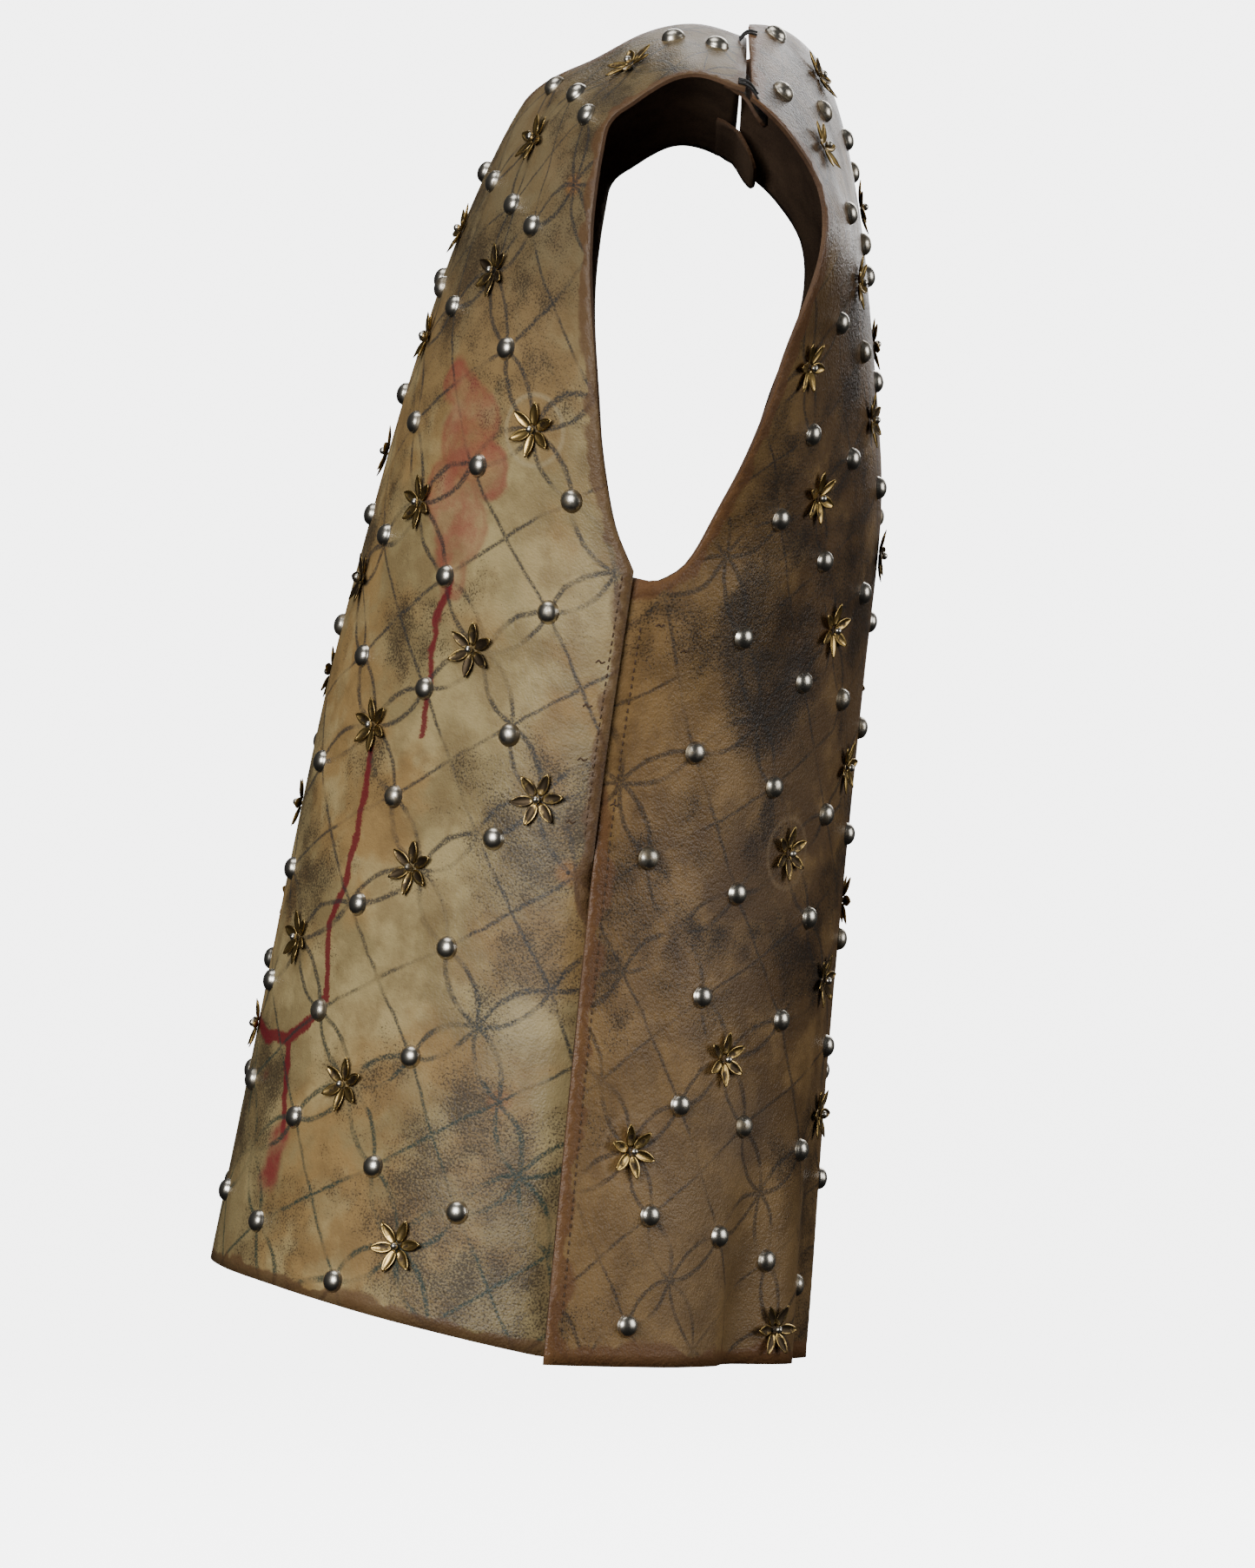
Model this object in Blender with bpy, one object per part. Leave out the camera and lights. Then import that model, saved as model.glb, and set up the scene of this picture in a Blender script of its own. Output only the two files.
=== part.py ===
"""A sleeveless studded leather tunic in the pose it is worn in, held up at the shoulders.

Metres, +Z up. The front faces -Y and the wearer's left is +X. The origin lies between the
shoulders at the height where they carry the tunic. Each panel is a sheet swept along its
centre line: u is the distance round from the centre, v the distance up from the hem.
"""
import math

import bpy
import numpy as np
from mathutils.geometry import delaunay_2d_cdt

# Leather
WALL = 0.0020
GAP = 0.0005
EDGE_STEP = 0.012
OUTER_GRID = 0.030
INNER_GRID = 0.034
BEAD_CLEARANCE = 0.0035
SLIVER_AREA = 1e-9
# rows face across the centre line's direction over this far to each side
FRAME_REACH = 0.030

# The pattern is drawn half a repeat at a time: flowers sit on even crossings, studs between
STUD_RADIUS = 0.0064
STUD_HEIGHT = 0.0046
STUD_SIDES = 8
PETAL_REACH = 0.0150
PETAL_ROOT = 0.0050
PETAL_RISE = 0.0028
FLOWER_HEIGHT = 0.0042
BEAD_EDGE = 0.0105

# The side seam, the same line for both panels: height along it, then its point at the left
SIDE_TOP = 0.420
SEAM = (
    # v,    x,      y,       z
    (0.00, 0.1925, -0.0815, -0.7080),
    (0.15, 0.1885, -0.0667, -0.5570),
    (0.30, 0.1880, -0.0505, -0.4080),
    (0.43, 0.1990, -0.0322, -0.2840),
)
# Above this height the front laps over the back, below it the back laps over the front
LAP_CROSSING = 0.262
LAP = 0.015
LAP_TURN = 0.011

# A leather tab sewn beneath the end of each front shoulder, which hangs behind it
TAB_WALL = 0.0018
TAB_SPAN = (0.168, 0.214)
TAB_UNDER = 0.014
TAB_REACH = 0.024
TAB_DROOP = 60.0
TAB_SINK = 0.0022
TAB_ROUND = 0.014

FRONT = {
    "facing": -1,
    # centre line from the hem, over the chest, to the end on the shoulder: y, z
    "spine": (
        (-0.2680, -0.6670), (-0.2460, -0.5600), (-0.2235, -0.4460), (-0.2015, -0.3430),
        (-0.1745, -0.2405), (-0.1530, -0.1675), (-0.1280, -0.0965), (-0.0938, -0.0275),
        (-0.0620, -0.0010), (-0.0300, 0.0170), (0.0020, 0.0225), (0.0350, 0.0160),
    ),
    # how far a row has turned 0.25 m out from the centre, and how late it turns
    "sections": (
        # v,   turn, ease
        (0.00, 1.31, 0.98), (0.20, 1.40, 0.98), (0.40, 1.31, 1.10), (0.52, 1.14, 1.25),
        (0.62, 0.86, 1.15), (0.69, 0.60, 0.85), (0.76, 0.42, 0.50), (0.84, 0.40, 0.40),
    ),
    # flat half width to the side seam: v, u
    "side": ((0.0, 0.299), (0.15, 0.277), (0.30, 0.266), (0.43, 0.269)),
    "under": (0.0, LAP_CROSSING),
    "hem_drop": 0.0,
    # flat outline from the underarm, round the armhole, to the neck's centre: u, v
    "armhole": (
        (0.268, 0.420), (0.256, 0.440), (0.247, 0.470), (0.237, 0.515), (0.226, 0.560),
        (0.213, 0.610), (0.204, 0.650), (0.201, 0.690), (0.206, 0.730), (0.215, 0.772),
        (0.220, 0.8120),
    ),
    "shoulder": ((0.220, 0.8120), (0.104, 0.8060)),
    "neck": (
        (0.104, 0.8060), (0.094, 0.772), (0.095, 0.740), (0.096, 0.712), (0.078, 0.686),
        (0.042, 0.668), (0.000, 0.661),
    ),
    # soft folds pushed in (-) or out (+): u, half width, depth, height reached from the hem
    "folds": ((0.205, 0.045, 0.0025, 0.30), (0.115, 0.050, -0.0020, 0.24)),
    # the drawn net: its first crossing, the half repeat, its tilt in degrees
    "net": (0.181, 0.365, 0.0450, 36.5),
    # how far the drawn crossings stray from a square net, in mm: p, q, out, up
    "strays": (
        (0, 0, 8, -7), (2, 0, 6, -5), (4, 0, -39, -2), (0, 2, -2, -6), (0, -2, -11, -7),
        (0, -4, -16, 6), (0, -6, 28, 1), (-2, -2, 1, -9), (-2, -4, -6, -1), (-2, -6, 32, 5),
        (-4, -6, -7, 31), (-4, -4, -28, 6), (-2, 0, 5, -3), (2, 2, 8, -3), (2, 4, 6, -5),
        (2, 6, -7, -5), (4, 2, -16, -1), (4, 4, 9, 1), (4, 6, 11, -2), (6, 4, -3, 7),
    ),
    # beads fixed a little off their crossing, in mm: p, q, out, up
    "set_off": (
        (0, 0, -9, 0), (1, 2, 10, 0), (2, 2, -6, 0), (-1, -2, 6, 0), (3, 2, 8, 0),
        (1, -2, 0, 6), (1, 4, 0, 8), (-4, -6, -6, 0), (-5, -6, 8, 6), (0, -4, 0, 5),
        (0, 1, 0, -5), (4, 4, -6, 0), (2, 7, -5, -3),
    ),
    "bare": ((-2, 0), (-4, -4), (2, 4), (6, 4), (0, 3), (2, 5)),
}
BACK = {
    "facing": 1,
    "spine": (
        (0.0620, -0.7190), (0.0655, -0.6740), (0.0690, -0.6220), (0.0735, -0.5610),
        (0.0820, -0.4650), (0.0935, -0.3500), (0.1030, -0.2590), (0.1015, -0.1960),
        (0.0930, -0.1050), (0.0785, -0.0300), (0.0560, 0.0110), (0.0230, 0.0290),
    ),
    "sections": (
        (0.00, 1.10, 0.66), (0.15, 1.06, 0.62), (0.30, 1.06, 0.64), (0.45, 1.12, 0.85),
        (0.54, 0.70, 0.90), (0.62, 0.34, 1.00), (0.67, 0.46, 0.95), (0.72, 0.56, 0.75),
        (0.78, 0.55, 0.55), (0.84, 0.50, 0.45),
    ),
    "side": ((0.0, 0.2530), (0.15, 0.2500), (0.30, 0.2450), (0.43, 0.2570)),
    "under": (LAP_CROSSING, SIDE_TOP),
    "hem_drop": -0.004,
    "armhole": (
        (0.252, 0.4160), (0.239, 0.4170), (0.222, 0.4320), (0.213, 0.4700), (0.207, 0.5250),
        (0.205, 0.5750), (0.200, 0.6100), (0.191, 0.6360), (0.200, 0.6620), (0.212, 0.6820),
        (0.216, 0.6955),
    ),
    "shoulder": (
        (0.216, 0.6955), (0.190, 0.7160), (0.170, 0.7340), (0.150, 0.7463), (0.125, 0.7545),
        (0.100, 0.7600),
    ),
    "neck": ((0.100, 0.7600), (0.086, 0.7520), (0.066, 0.7410), (0.035, 0.7240), (0.0, 0.7140)),
    "folds": (
        (0.104, 0.030, -0.0090, 0.20), (0.062, 0.024, 0.0050, 0.24),
        (0.026, 0.026, -0.0070, 0.26), (0.170, 0.040, 0.0030, 0.22),
    ),
    "net": (0.138, 0.159, 0.0430, 32.0),
    "strays": (
        (0, 0, 3, 2), (2, 0, -3, -4), (-2, 0, -27, 1), (0, 4, 29, 2), (-2, -2, -12, -4),
        (0, -2, 2, -6), (0, -4, 6, -1), (0, 2, 1, 4), (-2, -4, -14, -7), (-2, -6, -3, 9),
        (2, 2, 10, 2), (4, 2, -10, -2),
    ),
    "set_off": (),
    "bare": (
        (0, -2), (0, -4), (0, 2), (-2, -4), (-2, -6), (2, 2), (4, 2), (3, 0), (1, -2),
        (2, -1), (2, 3), (-1, -6),
    ),
}


def through(rows, x):
    """Smooth curve through a table's rows, read at x in its first column."""
    rows = np.asarray(rows, float)
    at, values = rows[:, 0], rows[:, 1:]
    step = np.diff(at)[:, None]
    slope = np.diff(values, axis=0) / step
    middle = (slope[:-1] * step[1:] + slope[1:] * step[:-1]) / (step[:-1] + step[1:])
    ends = np.vstack([slope[:1], middle, slope[-1:]])
    x = np.asarray(x, float)
    i = np.clip(np.searchsorted(at, x, side="right") - 1, 0, len(at) - 2)
    t = ((x - at[i]) / step[i, 0])[..., None]
    first = values[i] * (1 + 2 * t) * (1 - t) ** 2 + ends[i] * step[i] * t * (1 - t) ** 2
    second = values[i + 1] * (3 - 2 * t) * t**2 - ends[i + 1] * step[i] * (1 - t) * t**2
    return first + second


def curve(points, spacing):
    """Points at an even spacing along the smooth curve through the given ones."""
    points = np.asarray(points, float)
    rows = np.column_stack([np.arange(len(points)), points])
    fine = through(rows, np.linspace(0, len(points) - 1, 40 * len(points)))
    run = np.r_[0, np.cumsum(np.linalg.norm(np.diff(fine, axis=0), axis=1))]
    places = np.linspace(0, run[-1], max(2, math.ceil(run[-1] / spacing) + 1))
    return np.column_stack([np.interp(places, run, column) for column in fine.T])


def smooth(t):
    t = np.clip(t, 0, 1)
    return t * t * (3 - 2 * t)


def spine_frame(panel, v):
    """The centre line's point and its unit direction at v, both as y, z."""
    line = curve(panel["spine"], 0.002)
    run = np.r_[0, np.cumsum(np.linalg.norm(np.diff(line, axis=0), axis=1))]
    inside = np.clip(v, 0, run[-1])

    def at(w):
        return np.stack([np.interp(w, run, line[:, 0]), np.interp(w, run, line[:, 1])], -1)

    way = at(np.minimum(inside + FRAME_REACH, run[-1])) - at(np.maximum(inside - FRAME_REACH, 0))
    way /= np.linalg.norm(way, axis=-1, keepdims=True)
    return at(inside) + (v - inside)[..., None] * way, way


def swept(panel, u, v):
    """The panel before it is drawn to the side seam: each row bends round from the centre."""
    centre, way = spine_frame(panel, v)
    last = panel["sections"][-1][0]
    turn, ease = np.moveaxis(through(panel["sections"], np.clip(v, 0, last)), -1, 0)
    share = (np.arange(24) + 0.5) / 24
    angle = turn[..., None] * (np.abs(u)[..., None] * share / 0.25) ** ease[..., None]
    across = np.cos(angle).mean(-1) * u
    depth = np.sin(angle).mean(-1) * np.abs(u)
    for place, width, push, reach in panel["folds"]:
        along = np.cos(np.clip((np.abs(u) - place) / width, -1, 1) * math.pi / 2) ** 2
        depth = depth - push * along * (1 - np.clip(v / reach, 0, 1)) ** 2
    inward = np.stack([-way[..., 1], way[..., 0]], -1) * panel["facing"]
    return np.stack(
        [across, centre[..., 0] + depth * inward[..., 0], centre[..., 1] + depth * inward[..., 1]],
        -1,
    )


def side_width(panel, v):
    return through(panel["side"], np.clip(v, 0, 0.43))[..., 0]


def drawn(panel, u, v):
    """The panel with its side edge on the seam line. The pull fades above the underarm."""
    low = np.clip(v, 0, 0.43)
    width = side_width(panel, v)
    miss = through(SEAM, low) - swept(panel, width, low)
    pull = smooth((np.abs(u) / width - 0.35) / 0.65) * np.clip(1 - (v - 0.43) / 0.2, 0, 1)
    sign = np.where(u < 0, -1.0, 1.0)
    mirrored = miss * np.stack([sign, np.ones_like(sign), np.ones_like(sign)], -1)
    return swept(panel, u, v) + mirrored * pull[..., None]


def normal_of(place, u, v):
    """Outward normal of a sheet function at u, v, for a sheet whose rows run towards +X."""
    step = 0.002
    along = place(u + step, v) - place(u - step, v)
    up = place(u, v + step) - place(u, v - step)
    normal = np.cross(along, up)
    return normal / np.linalg.norm(normal, axis=-1, keepdims=True)


def under(panel, v):
    """1 where the panel's side runs beneath the other panel, 0 where it lies on top."""
    low, high = panel["under"]
    if low <= 0:
        return smooth((high - v) / 0.010)
    return smooth((v - low) / 0.010)


def lap_width(panel, v):
    """How far the side runs on past the seam line. At the crossing the edges only meet."""
    low, high = panel["under"]
    into = (high - v if low <= 0 else v - low) - 0.012
    return np.where(into > 0, LAP * smooth(into / 0.05), 0.0) - GAP / 2


def sheet(panel, other, u, v):
    """The panel's outer face, with its side strip tucked beneath the other panel."""
    u, v = np.broadcast_arrays(np.asarray(u, float), np.asarray(v, float))
    sign = np.where(u < 0, -1.0, 1.0)
    width = side_width(panel, v)
    past = np.where(v < SIDE_TOP + 0.03, np.abs(u) - width, -1.0)
    own = drawn(panel, sign * np.minimum(np.abs(u), np.where(past > 0, width, 9)), v)
    lapped = drawn(other, sign * (side_width(other, v) - np.maximum(past, 0)), v)
    point = np.where((past > 0)[..., None], lapped, own)
    tuck = under(panel, v) * smooth((past + LAP_TURN) / (LAP_TURN - 0.001))
    seam_normal = seam_outward(v)
    seam_normal = seam_normal * np.stack([sign, np.ones_like(sign), np.ones_like(sign)], -1)
    return point - seam_normal * ((WALL + GAP) * tuck)[..., None]


def seam_outward(v):
    """Unit outward direction along the left seam, midway between the two panels' own."""
    total = 0
    for panel in (FRONT, BACK):
        place = lambda u, w, panel=panel: drawn(panel, u, w)
        width = side_width(panel, v)
        total = total + normal_of(place, width - 0.004, v) * -panel["facing"]
    return total / np.linalg.norm(total, axis=-1, keepdims=True)


def outline(panel):
    """The panel's flat outline, anticlockwise, from the hem's centre round both halves."""
    bottom = panel["hem_drop"]
    top = panel["armhole"][0][1]
    rows = np.linspace(bottom, top, math.ceil((top - bottom) / EDGE_STEP) + 1)
    side = np.column_stack([side_width(panel, rows) + lap_width(panel, rows), rows])
    hem = curve(((0, bottom), tuple(side[0])), EDGE_STEP)
    armhole = curve(panel["armhole"], EDGE_STEP)
    neck = curve(panel["neck"], EDGE_STEP)
    shoulder = curve(panel["shoulder"], EDGE_STEP)
    half = np.vstack([hem[:-1], side[:-1], [side[-1]], armhole[1:], shoulder[1:], neck[1:]])
    mirrored = half[::-1] * (-1, 1)
    return np.vstack([half, mirrored[1:-1]])


def crossing(panel, p, q):
    """Flat place of the drawn net's point p, q. Whole even numbers are where flowers go."""
    u, v, half, tilt = panel["net"]
    along, across = math.cos(math.radians(tilt)), math.sin(math.radians(tilt))
    out = panel["facing"] * (p * along - q * across)
    square = np.array([u + half * out, v - half * (p * across + q * along)])
    strays = np.asarray(panel["strays"], float)
    near = np.clip(1 - np.abs(strays[:, 0] - p) / 2, 0, 1)
    near = near * np.clip(1 - np.abs(strays[:, 1] - q) / 2, 0, 1)
    return square + near @ strays[:, 2:] / max(near.sum(), 0.25) / 1000


def beads(panel):
    """Flat places of the studs and flowers that fit inside the panel, as kind, u, v, turn."""
    border = outline(panel)
    off = {(row[0], row[1]): np.array(row[2:]) / 1000 for row in panel["set_off"]}
    found = []
    for p in range(-24, 25):
        for q in range(-24, 25):
            if (p % 2 and q % 2) or (p, q) in panel["bare"]:
                continue
            kind = "stud" if p % 2 or q % 2 else "flower"
            u, v = crossing(panel, p, q) + off.get((p, q), 0)
            room = BEAD_EDGE if kind == "stud" else PETAL_REACH + BEAD_CLEARANCE
            tucked = LAP_TURN * float(under(panel, v)) * (v < SIDE_TOP)
            if abs(u) > side_width(panel, v) - room - tucked and v < SIDE_TOP:
                continue
            if inside(border, u, v) and edge_distance(border, u, v) > room:
                found.append((kind, u, v, math.radians(37 * p + 23 * q)))
    return found


def inside(border, u, v):
    ahead = np.roll(border, -1, axis=0)
    rising = (border[:, 1] > v) != (ahead[:, 1] > v)
    run = np.where(rising, ahead[:, 1] - border[:, 1], 1)
    at = border[:, 0] + (v - border[:, 1]) / run * (ahead[:, 0] - border[:, 0])
    return np.count_nonzero(rising & (at > u)) % 2 == 1


def edge_distance(border, u, v):
    ahead = np.roll(border, -1, axis=0) - border
    reach = np.array([u, v]) - border
    share = np.clip((reach * ahead).sum(1) / (ahead**2).sum(1), 0, 1)
    return np.linalg.norm(reach - share[:, None] * ahead, axis=1).min()


def ring(u, v, radius, count, turn=0.0):
    angle = turn + np.arange(count) * 2 * math.pi / count
    return np.column_stack([u + radius * np.cos(angle), v + radius * np.sin(angle)])


def stud_shape(u, v, turn):
    """A dome: flat points with their heights, and the edges that the mesh has to keep."""
    foot = ring(u, v, STUD_RADIUS, STUD_SIDES, turn)
    brow = ring(u, v, STUD_RADIUS * 0.72, STUD_SIDES, turn)
    points = np.vstack([foot, brow, [(u, v)]])
    heights = [0.0] * STUD_SIDES + [STUD_HEIGHT * 0.68] * STUD_SIDES + [STUD_HEIGHT]
    edges = [(i, (i + 1) % STUD_SIDES) for i in range(STUD_SIDES)]
    edges += [(a + STUD_SIDES, b + STUD_SIDES) for a, b in edges]
    return points, heights, edges


def flower_shape(u, v, turn):
    """Six boat-shaped petals, each a ridge between two notches, round a raised middle."""
    notches = ring(u, v, PETAL_ROOT, 6, turn)
    tips = ring(u, v, PETAL_REACH, 6, turn + math.pi / 6)
    ridges = ring(u, v, PETAL_REACH * 0.6, 6, turn + math.pi / 6)
    points = np.vstack([notches, tips, ridges, [(u, v)]])
    heights = [0.0] * 12 + [PETAL_RISE] * 6 + [FLOWER_HEIGHT]
    edges = []
    for i in range(6):
        edges += [(i, 6 + i), (6 + i, (i + 1) % 6), (6 + i, 12 + i), (12 + i, 18), (i, 18)]
    return points, heights, edges


def side_columns(panel):
    """Rows of points beside the seam, at the same places on both panels, so laps don't touch."""
    points = []
    rows = np.linspace(0.010, SIDE_TOP - 0.014, 34)
    for past in (-0.024, -0.016, -LAP_TURN + 0.003, 0.0, 0.0075):
        for v in rows:
            if past < 0 or lap_width(panel, v) > past + 0.004:
                points += [(side * (side_width(panel, v) + past), v) for side in (-1, 1)]
    return points


def grid(border, spacing):
    """Points in staggered rows, clear of the border."""
    low, high = border.min(0), border.max(0)
    points = []
    for row, v in enumerate(np.arange(low[1] + spacing / 2, high[1], spacing * 0.87)):
        shift = spacing / 2 if row % 2 else 0
        for u in np.arange(low[0] + shift, high[0], spacing):
            if inside(border, u, v) and edge_distance(border, u, v) > spacing * 0.5:
                points.append((u, v))
    return points


def clear_of(points, others, distance):
    others = np.asarray(others, float).reshape(-1, 2)
    keep = [p for p in points if np.linalg.norm(others - p, axis=1).min(initial=9) > distance]
    return keep


def triangulate(points, edges, border):
    """Triangles between the points that keep the given edges, inside the border only."""
    corners, _, triangles, *_ = delaunay_2d_cdt(
        [tuple(p) for p in points], edges, [], 0, 1e-7, False
    )
    kept = []
    for triangle in triangles:
        a, b, c = (np.array(corners[i]) for i in triangle)
        flat = abs(np.cross(b - a, c - a)) < SLIVER_AREA
        if not flat and inside(border, *((a + b + c) / 3)):
            kept.append(triangle)
    return kept


def make_object(name, points, faces, colour, roughness=0.6):
    mesh = bpy.data.meshes.new(name)
    mesh.from_pydata([tuple(p) for p in points], [], faces)
    material = bpy.data.materials.new(name)
    material.use_nodes = True
    shader = material.node_tree.nodes["Principled BSDF"]
    shader.inputs["Base Color"].default_value = (*colour, 1.0)
    shader.inputs["Roughness"].default_value = roughness
    mesh.materials.append(material)
    obj = bpy.data.objects.new(name, mesh)
    bpy.context.collection.objects.link(obj)
    return obj


def sew(name, top, low, count, faces_top, faces_low, colour):
    """Sews an outer and an inner skin along their border, the first count points of each."""
    start = len(top)
    faces = [tuple(f) for f in faces_top]
    faces += [tuple(start + i for i in reversed(f)) for f in faces_low]
    for i in range(count):
        j = (i + 1) % count
        faces.append((j, i, start + i, start + j))
    return make_object(name, np.vstack([top, low]), faces, colour)


def panel_wall(name, panel, other, colour):
    """One panel: studs and flowers rise from its outer face, and its inside is plain."""
    border = outline(panel)
    count = len(border)
    rim = [(i, (i + 1) % count) for i in range(count)]
    flat, heights, edges, centres = [tuple(p) for p in border], [0.0] * count, list(rim), []
    for kind, u, v, turn in beads(panel):
        shape = stud_shape if kind == "stud" else flower_shape
        points, lifts, joins = shape(u, v, turn)
        edges += [(a + len(flat), b + len(flat)) for a, b in joins]
        flat += [tuple(p) for p in points]
        heights += lifts
        centres.append((u, v))
    columns = side_columns(panel)
    near = clear_of(columns, centres, STUD_RADIUS + BEAD_CLEARANCE)
    spread = clear_of(grid(border, OUTER_GRID), centres, PETAL_REACH + BEAD_CLEARANCE)
    spread = clear_of(spread, near, OUTER_GRID * 0.4)
    flat += near + spread
    heights += [0.0] * (len(near) + len(spread))
    backing = clear_of(grid(border, INNER_GRID), columns, INNER_GRID * 0.4)
    inner = np.array([tuple(p) for p in border] + columns + backing)

    def skin(u, v):
        return sheet(panel, other, u, v)

    def place(u, v, lift):
        return skin(u, v) + normal_of(skin, u, v) * -panel["facing"] * lift[:, None]

    faces_out = triangulate(flat, edges, border)
    faces_in = triangulate(inner, rim, border)
    flat = np.array(flat)
    top = place(flat[:, 0], flat[:, 1], np.array(heights))
    low = place(inner[:, 0], inner[:, 1], np.full(len(inner), -WALL))
    wall = sew(name, top, low, count, faces_out, faces_in, colour)
    if panel["facing"] > 0:
        wall.data.flip_normals()
    return wall


def tab_skin(u, along):
    """The left tab's outer face. Beyond the shoulder's end it bends down as it goes back."""
    outer, inner = FRONT["shoulder"]
    edge = np.interp(u, (inner[0], outer[0]), (inner[1], outer[1]))
    v = edge + np.minimum(along, 0)

    def skin(a, b):
        return sheet(FRONT, BACK, a, b)

    sunk = WALL + GAP + TAB_SINK * smooth((along + 0.010) / 0.010)
    base = skin(u, v) - normal_of(skin, u, v) * sunk[..., None]
    way = skin(u, v) - skin(u, v - 0.004)
    slope = math.atan2(-way[..., 2].mean(), way[..., 1].mean())
    share = (np.arange(16) + 0.5) / 16
    run = np.maximum(along, 0)[..., None] * share
    angle = slope + (math.radians(TAB_DROOP) - slope) * smooth((run + 0.003) / 0.008)
    length = np.maximum(along, 0)
    back, down = np.cos(angle).mean(-1) * length, np.sin(angle).mean(-1) * length
    return base + np.stack([np.zeros_like(back), back, -down], -1)


def tab_border():
    """The tab's flat outline, anticlockwise, with its hanging end rounded."""
    left, right = TAB_SPAN
    corners = [(left, -TAB_UNDER), (right, -TAB_UNDER)]
    points = [curve((corners[0], corners[1]), 0.008)[:-1]]
    points.append(curve((corners[1], (right, TAB_REACH - TAB_ROUND)), 0.006)[:-1])
    turns = np.linspace(0, math.pi / 2, 6)
    middle = np.array([right - TAB_ROUND, TAB_REACH - TAB_ROUND])
    points.append(middle + TAB_ROUND * np.column_stack([np.cos(turns), np.sin(turns)]))
    middle = np.array([left + TAB_ROUND, TAB_REACH - TAB_ROUND])
    points.append(middle + TAB_ROUND * np.column_stack([-np.sin(turns), np.cos(turns)]))
    points.append(curve(((left, TAB_REACH - TAB_ROUND), corners[0]), 0.006)[1:-1])
    return np.vstack(points)


def shoulder_tab(name, side, colour):
    border = tab_border()
    count = len(border)
    rim = [(i, (i + 1) % count) for i in range(count)]
    flat = np.array([tuple(p) for p in border] + grid(border, 0.010))
    faces = triangulate(flat, rim, border)

    def place(u, along, lift):
        point = tab_skin(u, along) + normal_of(tab_skin, u, along) * lift[:, None]
        return point * (side, 1, 1)

    lifts = (np.zeros(len(flat)), np.full(len(flat), -TAB_WALL))
    top, low = (place(flat[:, 0], flat[:, 1], lift) for lift in lifts)
    tab = sew(name, top, low, count, faces, faces, colour)
    if side < 0:
        tab.data.flip_normals()
    return tab


for old in list(bpy.data.objects):
    bpy.data.objects.remove(old, do_unlink=True)
panel_wall("front_panel", FRONT, BACK, (0.40, 0.33, 0.22))
panel_wall("back_panel", BACK, FRONT, (0.42, 0.26, 0.12))
shoulder_tab("shoulder_tab_left", 1, (0.16, 0.11, 0.07))
shoulder_tab("shoulder_tab_right", -1, (0.16, 0.11, 0.07))
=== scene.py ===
"""Looks of the studded leather tunic: fine leather shells, metal studs and rosettes, threads.

The panels' tables and surface functions are the same as in the part's own source, so each
shell lies where its solid does. u runs round a panel from its centre, v up from the hem.
"""

import math
from functools import partial

import bpy
import numpy as np
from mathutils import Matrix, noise
from mathutils.geometry import delaunay_2d_cdt


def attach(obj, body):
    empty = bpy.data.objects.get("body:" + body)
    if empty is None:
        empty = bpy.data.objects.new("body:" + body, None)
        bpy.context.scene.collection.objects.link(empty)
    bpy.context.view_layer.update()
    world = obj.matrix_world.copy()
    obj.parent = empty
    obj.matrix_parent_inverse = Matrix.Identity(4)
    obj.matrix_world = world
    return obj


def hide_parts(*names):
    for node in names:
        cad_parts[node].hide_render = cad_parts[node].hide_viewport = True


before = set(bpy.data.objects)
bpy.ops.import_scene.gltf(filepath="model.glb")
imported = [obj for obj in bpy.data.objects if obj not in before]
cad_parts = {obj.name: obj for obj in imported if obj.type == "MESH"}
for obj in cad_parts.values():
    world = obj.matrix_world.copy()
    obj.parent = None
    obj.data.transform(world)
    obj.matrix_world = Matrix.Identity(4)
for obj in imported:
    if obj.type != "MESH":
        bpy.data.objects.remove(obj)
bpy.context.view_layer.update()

# Leather shells
WALL = 0.0020
GAP = 0.0005
EDGE_STEP = 0.006
GRID = 0.0052
TAB_GRID = 0.004
ROW_SHARE = 0.87
SLIVER_AREA = 1e-10
MERGE_GAP = 1e-7
# Spacing and reach at which a panel's centre line and its direction are read
LINE_STEP = 0.002
FRAME_REACH = 0.030
NORMAL_STEP = 0.002
# A row bends in this many parts, and its turn is stated this far out from the centre
BEND_PARTS = 24
TURN_AT = 0.25

# Studs and rosettes
STUD_RADIUS = 0.0064
STUD_HEIGHT = 0.0048
STUD_SIDES = 28
STUD_RINGS = 9
PETAL_START = 0.0022
PETAL_REACH = 0.0150
PETAL_WIDTH = 0.0030
PETAL_CURL = 0.0026
PETAL_WALL = 0.0005
PETAL_ROWS = 9
PETAL_COLUMNS = 7
BALL_RADIUS = 0.0021
BALL_HEIGHT = 0.0034
BALL_SIDES = 14
BEAD_EDGE = 0.0105
BEAD_CLEARANCE = 0.0035
BEAD_STEP = 0.0015
# Crossings tried to each side of the net's first one, and a bead's turn in degrees for each
NET_REACH = 24
BEAD_TURNS = (37, 23)
# Rounds and share of each correction when a place is looked up on the net
NET_ROUNDS = 14
NET_SHARE = 0.8
MM_PER_M = 1000
TARNISH = (-0.12, 0.22)
SEEDS = {"front": 11, "back": 12}

# Stitches along the side edges: first height, last height, distance in from the edge
STITCH_STEP = 0.0045
STITCH_LENGTH = 0.0026
STITCH_ROWS = {"back": (0.015, 0.390, 0.0085), "front": (0.275, 0.415, 0.0062)}
# A stitch's section: place along its length, width as a share
STITCH_PROFILE = ((-0.5, 0.35), (-0.35, 1.0), (0.35, 1.0), (0.5, 0.35))
# The three stitches of a tack: place in steps along the edge, turn
TACK_STEP = 0.0016
TACK_TURNS = ((-1, 0.9), (0, -0.7), (1, 0.6))

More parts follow.
